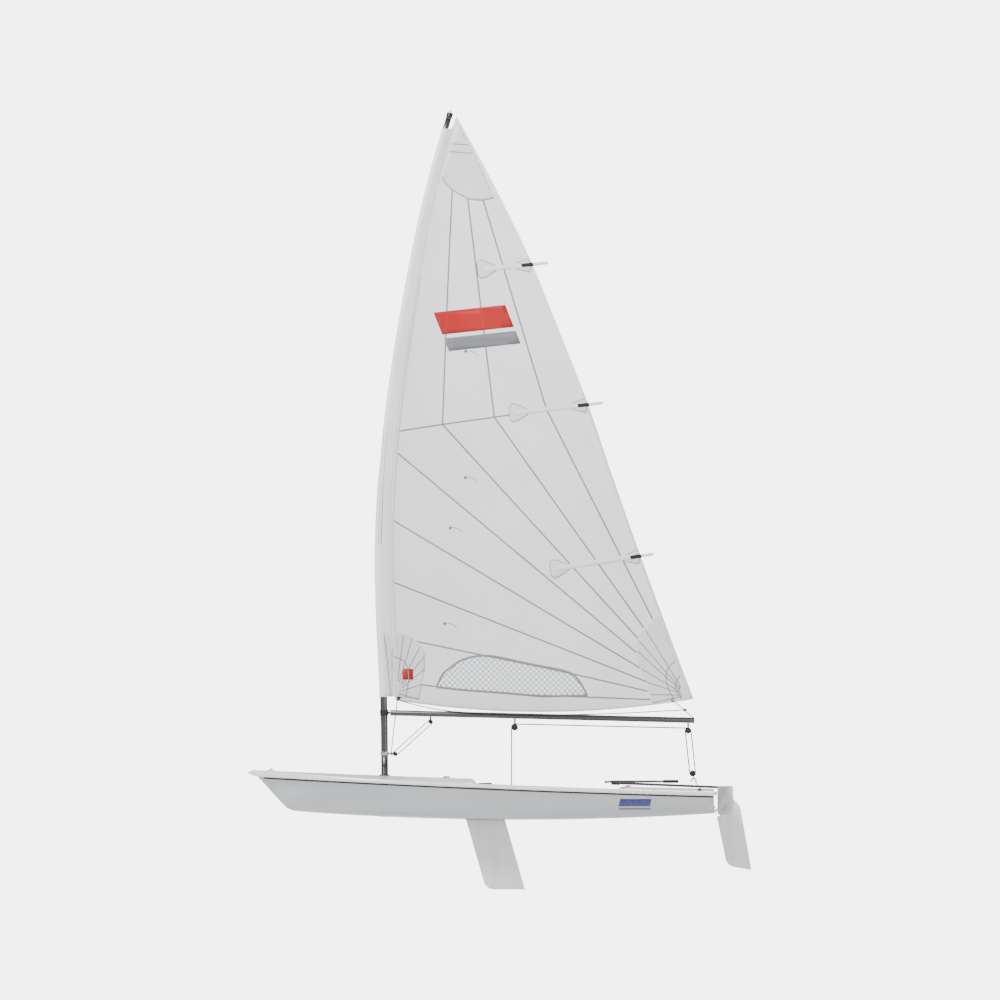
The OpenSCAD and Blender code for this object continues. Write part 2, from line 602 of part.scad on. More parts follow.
// ---- Rig ----
function mast_ring(t, r, sides = 20) =
  let(c = mast_at(t), d = mast_at(min(1, t + 0.01)) - mast_at(max(0, t - 0.01)), u = d / norm(d))
  [for (i = [0:sides - 1]) let(a = -360 * i / sides)
    [c[0] + r * cos(a) * u[1], r * sin(a), c[1] - r * cos(a) * u[0]]];
function spar(z0, z1, n, r) = [for (i = [0:n]) mast_ring(lerp(mast_t(z0), mast_t(z1), i / n), r)];
mast_overlap = 10;
module lower_mast() color("silver") {
  translate([mast_x, 0, step_foot_z])
    cylinder(d = lower_d, h = mast_root_z + mast_overlap - step_foot_z);
  skin(spar(mast_root_z, splice_z, 10, lower_d / 2 - 0.2));
}
module upper_mast() color("silver") skin(spar(splice_z + seat, mast_top_z, 14, upper_d / 2));
// Frame on the mast's centre line at a height, +Z along the spar.
module on_mast(z) {
  t = mast_t(z);
  c = mast_at(t);
  d = mast_at(min(1, t + 0.01)) - mast_at(max(0, t - 0.01));
  translate([c[0], 0, c[1]]) rotate([0, atan2(d[0], d[1]), 0]) children();
}
module mast_collar() color("#222222") on_mast(splice_z + 2) difference() {
  translate([0, 0, 2]) cylinder(d = lower_d, h = 24);
  translate([0, 0, 1]) cylinder(d = upper_d + 1.6, h = 26);
}
cap_h = 50;
cap_bore = 10;
module mast_cap() color("#222222") on_mast(mast_top_z) difference() {
  union() {
    translate([0, 0, seat]) cylinder(d = upper_d + 6, h = cap_h);
    cross_bar(cap_bore + 14, 12, 0, cap_h + 7);
    translate([-10, -6, cap_h - 2]) cube([20, 12, 8]);
  }
  cross_bar(cap_bore, 14, 0, cap_h + 7);
}
ring_grip = 0.3;
goose_z = boom_front[1];
module gooseneck() color("#222222") {
  difference() {
    union() {
      on_mast(goose_z) translate([0, 0, -26]) cylinder(d = lower_d + 12, h = 52);
      translate([boom_front[0] + seat, -9, goose_z - 10]) cube([24, 18, 20]);
    }
    on_mast(goose_z) cylinder(d = lower_d + 2 * ring_grip, h = 120, center = true);
  }
}
vang_block_r = 17;
vang_low = [mast_x - 97, vang_mast_z];
vang_high = [mast_x - 415, 817];
module vang_tang() color("silver") {
  difference() {
    union() {
      on_mast(vang_mast_z) translate([0, 0, -15]) cylinder(d = lower_d + 12, h = 30);
      translate([vang_low[0] + 0.85 * vang_block_r + seat, -2, vang_mast_z - 9]) cube([60, 4, 18]);
    }
    on_mast(vang_mast_z) cylinder(d = lower_d + 2 * ring_grip, h = 120, center = true);
  }
}
module boom() color("silver") boom_frame(0) cylinder(d = boom_d, h = boom_len);
module boom_end_cap() color("#222222") boom_frame(boom_len + seat) cylinder(d = boom_d + 3, h = 14);
// Block hung from the boom by a strap.
module hung_block(s, z, r, w) {
  x = boom_axis(s)[0];
  top = boom_axis(s)[1] - boom_d / 2 - 2 * seat;
  block(x, z, r, w);
  translate([x - 8, -5, z + r * 0.6]) cube([16, 10, top - z - r * 0.6]);
}
module boom_block_mid() color("#222222") hung_block(mid_block_s, 768, 29, 22);
module boom_block_aft() color("#222222") hung_block(aft_block_s, 735, 24, 18);
module vang_blocks() color("#222222") {
  block(vang_low[0], vang_low[1], vang_block_r, 18);
  hung_block(boom_front[0] - vang_high[0], vang_high[1], vang_block_r, 18);
}

// Sail and what is sewn into it.
sail_ts = [for (i = [0:sail_rows]) pow(i / sail_rows, 1.15)];
module sheet(points_of, rows, cols, t) {
  skin([for (i = [0:rows]) concat([for (j = [0:cols]) points_of(i, j) - [0, t / 2, 0]],
    [for (j = [cols:-1:0]) points_of(i, j) + [0, t / 2, 0]])], strip = true);
}
module sail() color("white")
  sheet(function(i, j) sail_pt(sail_ts[i], j / sail_cols), sail_rows, sail_cols, cloth_t);
sleeve_front_sides = 12;
function sleeve_ring(z, wall, back) =
  let(r = lerp(lower_d, upper_d, z > splice_z + 250 ? 1 : 0) / 2 + sleeve_clear + wall, c = mast_cx(z),
    tail = 2.2 + wall)
  concat([for (i = [0:sleeve_front_sides]) let(a = 105 - 210 * i / sleeve_front_sides)
    [c + r * 1.04 * cos(a), r * sin(a), z]], [[c - back, -tail, z], [c - back, tail, z]]);
sleeve_rows = 22;
function sleeve_z(i) = lerp(sleeve_foot_z, sleeve_top_z, i / sleeve_rows);
function sleeve_reach(z) = sleeve_back((z - tack_z) / (head_z - tack_z));
module sail_sleeve() color("white") sleeve_skin(
  [for (i = [0:sleeve_rows]) sleeve_ring(sleeve_z(i), sleeve_wall, sleeve_reach(sleeve_z(i)))],
  [for (i = [0:sleeve_rows]) sleeve_ring(sleeve_z(i), 0, sleeve_reach(sleeve_z(i)) - 6)]);
function sail_t(v, z, lo = 0, hi = 1, n = 22) = n == 0 ? (lo + hi) / 2
  : sail_pt((lo + hi) / 2, v)[2] < z ? sail_t(v, z, (lo + hi) / 2, hi, n - 1)
  : sail_t(v, z, lo, (lo + hi) / 2, n - 1);
patch_lift = cloth_t / 2 + 3 * seat;
patch_t = 1;
// Strip lying on the port face of the sail between two heights at each end.
module on_sail(v0, v1, low0, low1, high0, high1, cols, t) {
  sheet(function(i, j) let(v = lerp(v0, v1, j / cols),
    z = i == 0 ? lerp(low0, low1, j / cols) : lerp(high0, high1, j / cols))
    sail_pt(sail_t(v, z), v, patch_lift + t / 2), 1, cols, t);
}
batten_t = 3;
module batten(v0, v1, z0, z1) color("white")
  on_sail(v0, v1, z0 - batten_w / 2, z1 - batten_w / 2,
    z0 + batten_w / 2, z1 + batten_w / 2, 8, batten_t);
module batten_upper() batten(0.65, 1.11, 4924, 4982);
module batten_middle() batten(0.65, 1.075, 3622, 3712);
module batten_lower() batten(0.675, 1.052, 2208, 2342);
window_rows = 6;
window_vs = [0.14, 0.165, 0.19, 0.225, 0.26, 0.3, 0.34, 0.39, 0.44, 0.485, 0.53, 0.56, 0.59, 0.63];
function window_low(v) = lookup(v, [[0.14, 1134], [0.33, 1080], [0.63, 1048]]);
function window_high(v) = lookup(v, [[0.14, 1150], [0.19, 1306], [0.26, 1392], [0.34, 1415],
  [0.53, 1300], [0.59, 1274], [0.63, 1058]]);
module sail_window() color("lightblue") sheet(function(i, j) let(v = window_vs[j],
  z = lerp(window_low(v), window_high(v), i / window_rows))
  sail_pt(sail_t(v, z), v, patch_lift + patch_t / 2), window_rows, len(window_vs) - 1, patch_t);
clew_v = 0.93;
clew_bore = 10;
clew_stand = cloth_t / 2 + 3.7;   // clears the sail's curve across the ring
module clew_fitting() color("silver") {
  c = sail_pt(sail_t(clew_v, 1015), clew_v);
  for (sy = [-1, 1]) difference() {
    cross_bar(28, 2, c[0], c[2], c[1] + sy * clew_stand);
    cross_bar(clew_bore, 4, c[0], c[2], c[1] + sy * clew_stand);
  }
}

hull();
deck();
cockpit_tub();
mast_step();
daggerboard_case();
bow_eye();
control_cleats();
ratchet_block();
traveller_fairleads();
traveller_block();
traveller_line();
traveller_cleat();
hiking_strap();
grab_rails();
drain_plug();
self_bailer();
gudgeons();
rudder_head();
pintles();
tiller();
pivot_bolt();
rudder_blade();
universal_joint();
tiller_extension();
extension_grip();
daggerboard();
daggerboard_handle();
lower_mast();
upper_mast();
mast_collar();
mast_cap();
gooseneck();
vang_tang();
boom();
boom_end_cap();
boom_block_aft();
boom_block_mid();
vang_blocks();
sail();
sail_sleeve();
sail_window();
batten_upper();
batten_middle();
batten_lower();
clew_fitting();
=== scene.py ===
"""Looks of a single-handed sailing dinghy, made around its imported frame.

Metres, +X to the bow, +Y to port, +Z up. The water's plane is Z = 0.
"""
import json
import math

import bmesh
import bpy
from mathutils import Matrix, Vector
from mathutils.bvhtree import BVHTree

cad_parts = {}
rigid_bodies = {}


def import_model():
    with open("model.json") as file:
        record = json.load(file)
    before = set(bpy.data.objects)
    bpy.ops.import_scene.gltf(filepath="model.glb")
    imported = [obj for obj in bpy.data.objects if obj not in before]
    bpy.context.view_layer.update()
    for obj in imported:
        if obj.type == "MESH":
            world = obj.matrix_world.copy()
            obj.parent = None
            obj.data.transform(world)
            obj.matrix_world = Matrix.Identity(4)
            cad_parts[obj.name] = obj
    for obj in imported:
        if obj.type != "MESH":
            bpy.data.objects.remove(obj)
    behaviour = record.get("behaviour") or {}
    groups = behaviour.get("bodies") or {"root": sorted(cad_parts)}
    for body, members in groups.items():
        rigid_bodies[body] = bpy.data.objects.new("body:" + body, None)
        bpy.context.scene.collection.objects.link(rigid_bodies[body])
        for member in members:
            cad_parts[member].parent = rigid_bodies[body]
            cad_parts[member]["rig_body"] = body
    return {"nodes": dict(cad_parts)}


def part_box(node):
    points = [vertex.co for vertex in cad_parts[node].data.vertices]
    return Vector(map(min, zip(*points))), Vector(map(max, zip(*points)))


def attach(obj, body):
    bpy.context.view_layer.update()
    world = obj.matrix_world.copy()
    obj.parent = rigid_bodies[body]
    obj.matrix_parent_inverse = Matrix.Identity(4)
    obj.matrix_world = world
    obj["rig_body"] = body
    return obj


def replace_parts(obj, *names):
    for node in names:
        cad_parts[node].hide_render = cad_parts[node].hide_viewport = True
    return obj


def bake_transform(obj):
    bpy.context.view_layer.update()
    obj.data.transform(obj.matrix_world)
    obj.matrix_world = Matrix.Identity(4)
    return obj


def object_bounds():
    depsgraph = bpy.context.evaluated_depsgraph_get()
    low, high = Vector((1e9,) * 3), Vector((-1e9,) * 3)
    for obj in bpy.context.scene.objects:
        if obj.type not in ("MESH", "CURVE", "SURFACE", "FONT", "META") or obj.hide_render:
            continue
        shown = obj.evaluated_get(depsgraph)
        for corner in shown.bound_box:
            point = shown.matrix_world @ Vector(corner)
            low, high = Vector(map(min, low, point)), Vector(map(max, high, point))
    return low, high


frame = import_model()
cad_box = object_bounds()
NODES = frame["nodes"]
UP = Vector((0, 0, 1))
OUT_PORT = Vector((0, 1, 0))

# ---------------------------------------------------------------- camera, floor and light
VIEW_WIDTH = 9.07
VIEW_CENTRE = Vector((-0.174, 0.0, 2.83))
VIEW_DISTANCE = 20.0
FLOOR_SIZE = 60.0
FLOOR_GAP = 0.002
BACKDROP, ROOM_LIGHT = 5.5, 0.62      # strengths of the background seen and of the light it gives
LAMPS = [   # name, place, size in metres, watts
    ("key", (6.5, 8.0, 10.0), 3.0, 2300), ("fill", (-7.0, 7.0, 3.0), 5.0, 300),
    ("back", (-3.0, -9.0, 6.0), 5.0, 520)]


def place_camera():
    """A flat side view from the port beam, bow to the left."""
    data = bpy.data.cameras.new("side_view")
    data.type = "ORTHO"
    data.ortho_scale = VIEW_WIDTH
    data.clip_end = 100.0
    camera = bpy.data.objects.new("side_view", data)
    camera.location = VIEW_CENTRE + OUT_PORT * VIEW_DISTANCE
    camera.rotation_euler = (math.radians(90), 0, math.radians(180))
    bpy.context.scene.collection.objects.link(camera)
    bpy.context.scene.camera = camera


def area_light(name, place, size, power):
    data = bpy.data.lights.new(name, "AREA")
    data.size = size
    data.energy = power
    lamp = bpy.data.objects.new(name, data)
    lamp.location = place
    lamp.rotation_euler = (VIEW_CENTRE - Vector(place)).to_track_quat("-Z", "Y").to_euler()
    bpy.context.scene.collection.objects.link(lamp)


def light_scene():
    """Even soft studio light in a pale room, with one stronger lamp to model the forms."""
    world = bpy.data.worlds.new("pale_room")
    world.use_nodes = True
    tree = world.node_tree
    tree.nodes.clear()
    seen = add(tree, "ShaderNodeBackground", {"Color": srgb("ffffff"), "Strength": BACKDROP})
    lit = add(tree, "ShaderNodeBackground", {"Color": srgb("f7f9fb"), "Strength": ROOM_LIGHT})
    ray = add(tree, "ShaderNodeLightPath")
    mixed = add(tree, "ShaderNodeMixShader", {
        "Fac": ray.outputs["Is Camera Ray"], 1: lit.outputs[0], 2: seen.outputs[0]})
    add(tree, "ShaderNodeOutputWorld", {"Surface": mixed.outputs[0]})
    bpy.context.scene.world = world
    for lamp in LAMPS:
        area_light(*lamp)


# ---------------------------------------------------------------- materials
def srgb(code, alpha=1.0):
    """Linear colour of an sRGB hex code such as f4f4f2."""
    parts = [int(code[i:i + 2], 16) / 255 for i in (0, 2, 4)]
    return [p / 12.92 if p <= 0.04045 else ((p + 0.055) / 1.055) ** 2.4 for p in parts] + [alpha]


def add(tree, kind, inputs=None, to=None, **settings):
    """A node with its settings and its inputs set or linked; to takes its first output."""
    made = tree.nodes.new(kind)
    for key, value in settings.items():
        setattr(made, key, value)
    for key, value in (inputs or {}).items():
        if isinstance(value, bpy.types.NodeSocket):
            tree.links.new(value, made.inputs[key])
        else:
            made.inputs[key].default_value = value
    if to is not None:
        tree.links.new(made.outputs[0], to)
    return made


def material(name, colour, roughness, **shader_inputs):
    """A principled material: returns it, its tree and its shader."""
    made = bpy.data.materials.new(name)
    made.use_nodes = True
    tree = made.node_tree
    tree.nodes.clear()
    shader = add(tree, "ShaderNodeBsdfPrincipled", {
        "Base Color": srgb(colour), "Roughness": roughness, **shader_inputs})
    add(tree, "ShaderNodeOutputMaterial", {"Surface": shader.outputs[0]})
    return made, tree, shader


def tint(tree, shader, low, high, scale, detail=3.0, stretch=(1, 1, 1)):
    """Slow change between two close colours over the piece."""
    coords = add(tree, "ShaderNodeTexCoord")
    mapping = add(tree, "ShaderNodeMapping", {"Vector": coords.outputs["Object"], "Scale": stretch})
    noise = add(tree, "ShaderNodeTexNoise", {
        "Vector": mapping.outputs[0], "Scale": scale, "Detail": detail})
    ramp = add(tree, "ShaderNodeValToRGB", {"Fac": noise.outputs["Fac"]})
    ramp.color_ramp.elements[0].position, ramp.color_ramp.elements[1].position = 0.3, 0.7
    ramp.color_ramp.elements[0].color, ramp.color_ramp.elements[1].color = srgb(low), srgb(high)
    tree.links.new(ramp.outputs[0], shader.inputs["Base Color"])
    return mapping, noise


def gelcoat(name, low, high):
    """Polished polyester gelcoat from a mould: a deep even gloss with faint ripple."""
    made, tree, shader = material(name, high, 0.22, **{
        "IOR": 1.52, "Coat Weight": 0.4, "Coat Roughness": 0.06})
    mapping, noise = tint(tree, shader, low, high, 1.6)
    add(tree, "ShaderNodeMapRange", {"Value": noise.outputs["Fac"], "To Min": 0.17, "To Max": 0.3},
        to=shader.inputs["Roughness"])
    ripple = add(tree, "ShaderNodeTexNoise", {"Vector": mapping.outputs[0], "Scale": 9.0})
    add(tree, "ShaderNodeBump", {
        "Height": ripple.outputs["Fac"], "Strength": 0.15, "Distance": 0.002},
        to=shader.inputs["Normal"])
    return made


def non_slip():
    """Gelcoat moulded with small diamonds 6 mm apart for grip: dull and slightly greyer."""
    made, tree, shader = material("moulded_non_slip", "dcdcd9", 0.6, IOR=1.5)
    tint(tree, shader, "d6d6d3", "e1e1de", 5.0)
    coords = add(tree, "ShaderNodeTexCoord")
    waves = []
    for turn in (45, -45):
        mapping = add(tree, "ShaderNodeMapping", {
            "Vector": coords.outputs["Object"], "Rotation": (0, 0, math.radians(turn))})
        waves.append(add(tree, "ShaderNodeTexWave", {
            "Vector": mapping.outputs[0], "Scale": wave_scale(0.006)}).outputs["Fac"])
    both = add(tree, "ShaderNodeMath", {0: waves[0], 1: waves[1]}, operation="MULTIPLY")
    add(tree, "ShaderNodeBump", {"Height": both.outputs[0], "Strength": 0.7, "Distance": 0.0008},
        to=shader.inputs["Normal"])
    return made


def wave_scale(pitch):
    """Scale of a wave texture whose bands are pitch metres apart."""
    return math.tau / 20 / pitch


def foil_finish():
    """Foam cored foil in white gelcoat, wet sanded along its length: a soft satin."""
    made, tree, shader = material("wet_sanded_gelcoat", "f1f1ef", 0.32, **{
        "IOR": 1.5, "Coat Weight": 0.15, "Coat Roughness": 0.2})
    _, noise = tint(tree, shader, "ebebe9", "f5f5f3", 14.0, stretch=(1, 1, 0.1))
    add(tree, "ShaderNodeMapRange", {"Value": noise.outputs["Fac"], "To Min": 0.26, "To Max": 0.42},
        to=shader.inputs["Roughness"])
    add(tree, "ShaderNodeBump", {
        "Height": noise.outputs["Fac"], "Strength": 0.08, "Distance": 0.0006},
        to=shader.inputs["Normal"])
    return made


def anodised(name, low, high, along):
    """Drawn and anodised alloy tube: satin metal with faint draw lines along the tube."""
    made, tree, shader = material(name, high, 0.36, Metallic=1.0)
    _, noise = tint(tree, shader, low, high, 60.0, 4.0, along)
    add(tree, "ShaderNodeMapRange", {"Value": noise.outputs["Fac"], "To Min": 0.28, "To Max": 0.46},
        to=shader.inputs["Roughness"])
    add(tree, "ShaderNodeBump", {
        "Height": noise.outputs["Fac"], "Strength": 0.12, "Distance": 0.0004},
        to=shader.inputs["Normal"])
    return made


def stainless():
    """Stamped stainless steel, tumbled: bright, with fine cloudy wear."""
    made, tree, shader = material("tumbled_stainless", "c9cacb", 0.24, Metallic=1.0)
    _, noise = tint(tree, shader, "bdbfc1", "d3d4d5", 90.0)
    add(tree, "ShaderNodeMapRange", {"Value": noise.outputs["Fac"], "To Min": 0.16, "To Max": 0.36},
        to=shader.inputs["Roughness"])
    add(tree, "ShaderNodeBump", {
        "Height": noise.outputs["Fac"], "Strength": 0.06, "Distance": 0.0003},
        to=shader.inputs["Normal"])
    return made


def nylon(name, low, high, roughness):
    """Injection moulded nylon: near black, with a fine spark-eroded grain."""
    made, tree, shader = material(name, high, roughness, IOR=1.53)
    mapping, noise = tint(tree, shader, low, high, 40.0)
    grain = add(tree, "ShaderNodeTexVoronoi", {"Vector": mapping.outputs[0], "Scale": 900.0})
    add(tree, "ShaderNodeMapRange", {
        "Value": noise.outputs["Fac"], "To Min": roughness - 0.08, "To Max": roughness + 0.12},
        to=shader.inputs["Roughness"])
    add(tree, "ShaderNodeBump", {
        "Height": grain.outputs["Distance"], "Strength": 0.25, "Distance": 0.0003},
        to=shader.inputs["Normal"])
    return made


def foam_grip():
    """Closed cell rubber foam: matt black with open pores about 2 mm across."""
    made, tree, shader = material("closed_cell_foam", "161617", 0.85, IOR=1.45)
    mapping, _ = tint(tree, shader, "101011", "1d1d1e", 60.0)
    pores = add(tree, "ShaderNodeTexVoronoi", {"Vector": mapping.outputs[0], "Scale": 450.0})
    add(tree, "ShaderNodeBump", {
        "Height": pores.outputs["Distance"], "Strength": 0.5, "Distance": 0.0008},
        to=shader.inputs["Normal"])
    return made


def carbon():
    """Clear coated carbon tube, plain weave drawn 4 mm wide: dark, with a checked glint."""
    made, tree, shader = material("carbon_tube", "161718", 0.3, **{
        "Coat Weight": 0.6, "Coat Roughness": 0.08})
    coords = add(tree, "ShaderNodeTexCoord")
    check = add(tree, "ShaderNodeTexChecker", {
        "Vector": coords.outputs["Object"], "Scale": 250.0,
        "Color1": srgb("0f1011"), "Color2": srgb("26282a")})
    tree.links.new(check.outputs["Color"], shader.inputs["Base Color"])
    add(tree, "ShaderNodeMapRange", {"Value": check.outputs["Fac"], "To Min": 0.25, "To Max": 0.4},
        to=shader.inputs["Roughness"])
    return made


def woven(name, low, high, pitch, roughness, depth, **more):
    """Plain woven cloth: two sets of threads crossing at right angles, seen from the side."""
    made, tree, shader = material(name, high, roughness, **{
        "Sheen Weight": 0.25, "Sheen Roughness": 0.4, **more})
    mapping, _ = tint(tree, shader, low, high, 2.2, 4.0)
    threads = []
    for direction in ("X", "Z"):
        threads.append(add(tree, "ShaderNodeTexWave", {
            "Vector": mapping.outputs[0], "Scale": wave_scale(pitch), "Distortion": 0.6,
            "Detail Scale": 2.0}, bands_direction=direction).outputs["Fac"])
    weave = add(tree, "ShaderNodeMath", {0: threads[0], 1: threads[1]}, operation="ADD")
    crease = add(tree, "ShaderNodeTexNoise", {"Vector": mapping.outputs[0], "Scale": 5.0})
    deep = add(tree, "ShaderNodeMath", {0: crease.outputs["Fac"], 1: 4.0}, operation="MULTIPLY")
    both = add(tree, "ShaderNodeMath", {0: weave.outputs[0], 1: deep.outputs[0]}, operation="ADD")
    add(tree, "ShaderNodeBump", {"Height": both.outputs[0], "Strength": 0.35, "Distance": depth},
        to=shader.inputs["Normal"])
    return made


def braid(name, low, high, strand):
    """Braided polyester rope: strands cross at a slant round the rope, with a soft fuzz."""
    made, tree, shader = material(name, high, 0.75, **{"Sheen Weight": 0.3})
    uv = add(tree, "ShaderNodeTexCoord").outputs["UV"]
    bands = []
    for turn in (40, -40):
        mapping = add(tree, "ShaderNodeMapping", {
            "Vector": uv, "Rotation": (0, 0, math.radians(turn))})
        bands.append(add(tree, "ShaderNodeTexWave", {
            "Vector": mapping.outputs[0], "Scale": wave_scale(strand)}).outputs["Fac"])
    cross = add(tree, "ShaderNodeMath", {0: bands[0], 1: bands[1]}, operation="MULTIPLY")
    ramp = add(tree, "ShaderNodeValToRGB", {"Fac": cross.outputs[0]})
    ramp.color_ramp.elements[0].color, ramp.color_ramp.elements[1].color = srgb(low), srgb(high)
    tree.links.new(ramp.outputs[0], shader.inputs["Base Color"])
    add(tree, "ShaderNodeBump", {"Height": cross.outputs[0], "Strength": 0.6, "Distance": 0.0008},
        to=shader.inputs["Normal"])
    return made


def window_film():
    """Clear vinyl film 0.4 mm thick: a grey see-through sheet with a gloss and a few ripples."""
    made, tree, shader = material("clear_vinyl", "dfe5ea", 0.12, IOR=1.53, Alpha=0.55)
    _, noise = tint(tree, shader, "d4dce2", "e6ebef", 3.0)
    add(tree, "ShaderNodeBump", {
        "Height": noise.outputs["Fac"], "Strength": 0.25, "Distance": 0.004},
        to=shader.inputs["Normal"])
    return made


FINISH = {
    "hull": gelcoat("polished_gelcoat_grey", "c9cbd0", "d2d4d8"),
    "deck": gelcoat("polished_gelcoat_white", "f2f2f0", "f7f7f5"),
    "grip": non_slip(),
    "foil": foil_finish(),
    "spar": anodised("anodised_spar_tube", "5a5b5e", "68696c", (12, 12, 0.4)),
    "boom": anodised("anodised_boom_tube", "56575a", "646568", (0.4, 12, 12)),
    "cast": anodised("cast_alloy", "c4c5c6", "d6d7d8", (6, 6, 6)),
    "steel": stainless(),
    "nylon": nylon("moulded_nylon", "0c0c0d", "131314", 0.42),
    "liner": nylon("moulded_liner", "3a3a3c", "464648", 0.55),
    "foam": foam_grip(),
    # near-black bead under the gunwale: partly the real joint, partly a painted shadow line under
    # the lip
    "joint_and_painted_shadow": nylon("black_bead_and_painted_shadow", "1a1a1b", "232324", 0.6),
    "carbon": carbon(),
    "sail": woven("woven_polyester_sailcloth", "f0f0ef", "f8f8f7", 0.004, 0.6, 0.0006),
    "patch": woven("sailcloth_in_layers", "dededd", "e8e8e7", 0.004, 0.62, 0.0006),
    "batten": woven("batten_pocket_cloth", "ececeb", "f4f4f3", 0.004, 0.6, 0.0006),
    "tape": woven("polyester_seam_tape", "7d7f84", "8b8d92", 0.003, 0.6, 0.0004),
    "webbing": woven("polyester_webbing", "141415", "202021", 0.004, 0.8, 0.0012),
    "rope": braid("braided_rope_black", "070708", "121213", 0.004),
    "film": window_film(),
    "thread": material("bonded_polyester_thread", "55575b", 0.6, **{"Sheen Weight": 0.4})[0],
    "stitch": material("sail_thread", "7d7f84", 0.6, **{"Sheen Weight": 0.4})[0],
    "red": woven("red_sail_film", "a80c0a", "b81410", 0.004, 0.5, 0.0004),
    "grey": woven("grey_sail_film", "6e7075", "7a7c81", 0.004, 0.5, 0.0004),
    "blue": gelcoat("blue_vinyl_stripe", "101f7c", "16278a"),
    "floor": material("pale_floor", "e4e4e2", 0.8)[0],
    "grey_vinyl": gelcoat("grey_vinyl_stripe", "6c6e78", "787a84"),
}


def clamp(value, low=0.0, high=1.0):
    return min(max(value, low), high)


def lerp(a, b, t):
    return a + (b - a) * t


def lookup(table, key):
    """Value on a broken line of (key, value) pairs."""
    if key <= table[0][0]:
        return table[0][1]
    for (k0, v0), (k1, v1) in zip(table, table[1:]):
        if key <= k1:
            return lerp(v0, v1, (key - k0) / (k1 - k0))
    return table[-1][1]


def curve(points, t):
    """Point on the smooth curve through points, t from 0 to 1."""
    n = len(points) - 1
    k = clamp(t) * n
    i = min(int(k), n - 1)
    u = k - i
    p, q, r, s = (Vector(points[clamp(j, 0, n)]) for j in (i - 1, i, i + 1, i + 2))
    return 0.5 * (2 * q + (r - p) * u + (2 * p - 5 * q + 4 * r - s) * u * u
                  + (3 * q - p - 3 * r + s) * u ** 3)


def place(name, mesh, finish, body, smooth=True):
    """An object for a finished mesh, in its finish, on its body if it has one yet."""
    obj = bpy.data.objects.new(name, mesh)
    bpy.context.scene.collection.objects.link(obj)
    mesh.materials.clear()
    mesh.materials.append(FINISH[finish])
    if smooth:
        mesh.shade_smooth()
    if body:
        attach(obj, body)
    return obj


def to_mesh(bm, name):
    mesh = bpy.data.meshes.new(name)
    bm.to_mesh(mesh)
    bm.free()
    return mesh


def from_faces(name, points, faces):
    mesh = bpy.data.meshes.new(name)
    mesh.from_pydata([tuple(p) for p in points], [], faces)
    return mesh


def outward(mesh, weld=0.0):
    """Turns a mesh's faces outwards, its doubled points welded first where asked."""
    bm = bmesh.new()
    bm.from_mesh(mesh)
    if weld:
        bmesh.ops.remove_doubles(bm, verts=bm.verts, dist=weld)
    bmesh.ops.recalc_face_normals(bm, faces=bm.faces)
    bm.to_mesh(mesh)
    bm.free()
    return mesh


def rings_mesh(name, rings, caps=True):
    """Skin over rings of equal length, its two ends closed unless caps is off."""
    n = len(rings[0])
    points = [p for ring in rings for p in ring]
    faces = [[a * n + k, a * n + (k + 1) % n, (a + 1) * n + (k + 1) % n, (a + 1) * n + k]
             for a in range(len(rings) - 1) for k in range(n)]
    if caps:
        faces += [list(range(n))[::-1], [(len(rings) - 1) * n + k for k in range(n)]]
    return outward(from_faces(name, points, faces))


def finished(obj, *modifiers):
    """Applies modifiers, each a type and its settings, to the object's mesh."""
    for kind, settings in modifiers:
        added = obj.modifiers.new(kind.lower(), kind)
        for key, value in settings.items():
            setattr(added, key, value)
    graph = bpy.context.evaluated_depsgraph_get()
    graph.update()
    mesh = bpy.data.meshes.new_from_object(obj.evaluated_get(graph))
    obj.modifiers.clear()
    obj.data = mesh
    return obj


WELD = 1e-6
FLAT_ANGLE = math.radians(0.02)    # faces flatter than this are merged
SHARP_ANGLE = math.radians(35)


def polish(node, finish, edge):
    """Smooth shaded copy of a CAD node with softened edges, standing in for it."""
    bm = bmesh.new()
    bm.from_mesh(NODES[node].data)
    bmesh.ops.remove_doubles(bm, verts=bm.verts, dist=WELD)
    bmesh.ops.dissolve_limit(bm, angle_limit=FLAT_ANGLE, verts=bm.verts, edges=bm.edges)
    made = place(node + "_skin", to_mesh(bm, node + "_skin"), finish, None)
    if edge:
        finished(made, ("BEVEL", {"width": edge, "segments": 2, "limit_method": "ANGLE",
                                  "angle_limit": SHARP_ANGLE, "harden_normals": False}))
    made.data.set_sharp_from_angle(angle=SHARP_ANGLE)
    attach(made, NODES[node]["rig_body"])
    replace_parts(made, node)
    return made


def sweep(name, path, radius, sides=10):
    """Round rope or rod along a path, its UV in metres along and round it."""
    path = [Vector(p) for p in path]
    tangents = [(path[min(i + 1, len(path) - 1)] - path[max(i - 1, 0)]).normalized()
                for i in range(len(path))]
    side = tangents[0].orthogonal().normalized()
    rings, lengths, run = [], [], 0.0
    for i, (point, along) in enumerate(zip(path, tangents)):
        side = (side - along * side.dot(along)).normalized()
        cross = along.cross(side)
        if i:
            run += (point - path[i - 1]).length
        lengths.append(run)
        rings.append([point + radius * (side * math.cos(a) + cross * math.sin(a))
                      for a in (math.tau * k / sides for k in range(sides))])
    bm = bmesh.new()
    uv = bm.loops.layers.uv.new("along_rope")
    rows = [[bm.verts.new(p) for p in ring] for ring in rings]
    girth = math.tau * radius
    for i in range(len(rows) - 1):
        for k in range(sides):
            face = bm.faces.new([rows[i][k], rows[i][(k + 1) % sides],
                                 rows[i + 1][(k + 1) % sides], rows[i + 1][k]])
            for loop, (u, v) in zip(face.loops, ((lengths[i], k), (lengths[i], k + 1),
                                                 (lengths[i + 1], k + 1), (lengths[i + 1], k))):
                loop[uv].uv = (u, v * girth / sides)
    bm.faces.new(rows[0][::-1])
    bm.faces.new(rows[-1])
    bmesh.ops.recalc_face_normals(bm, faces=bm.faces)
    return to_mesh(bm, name)


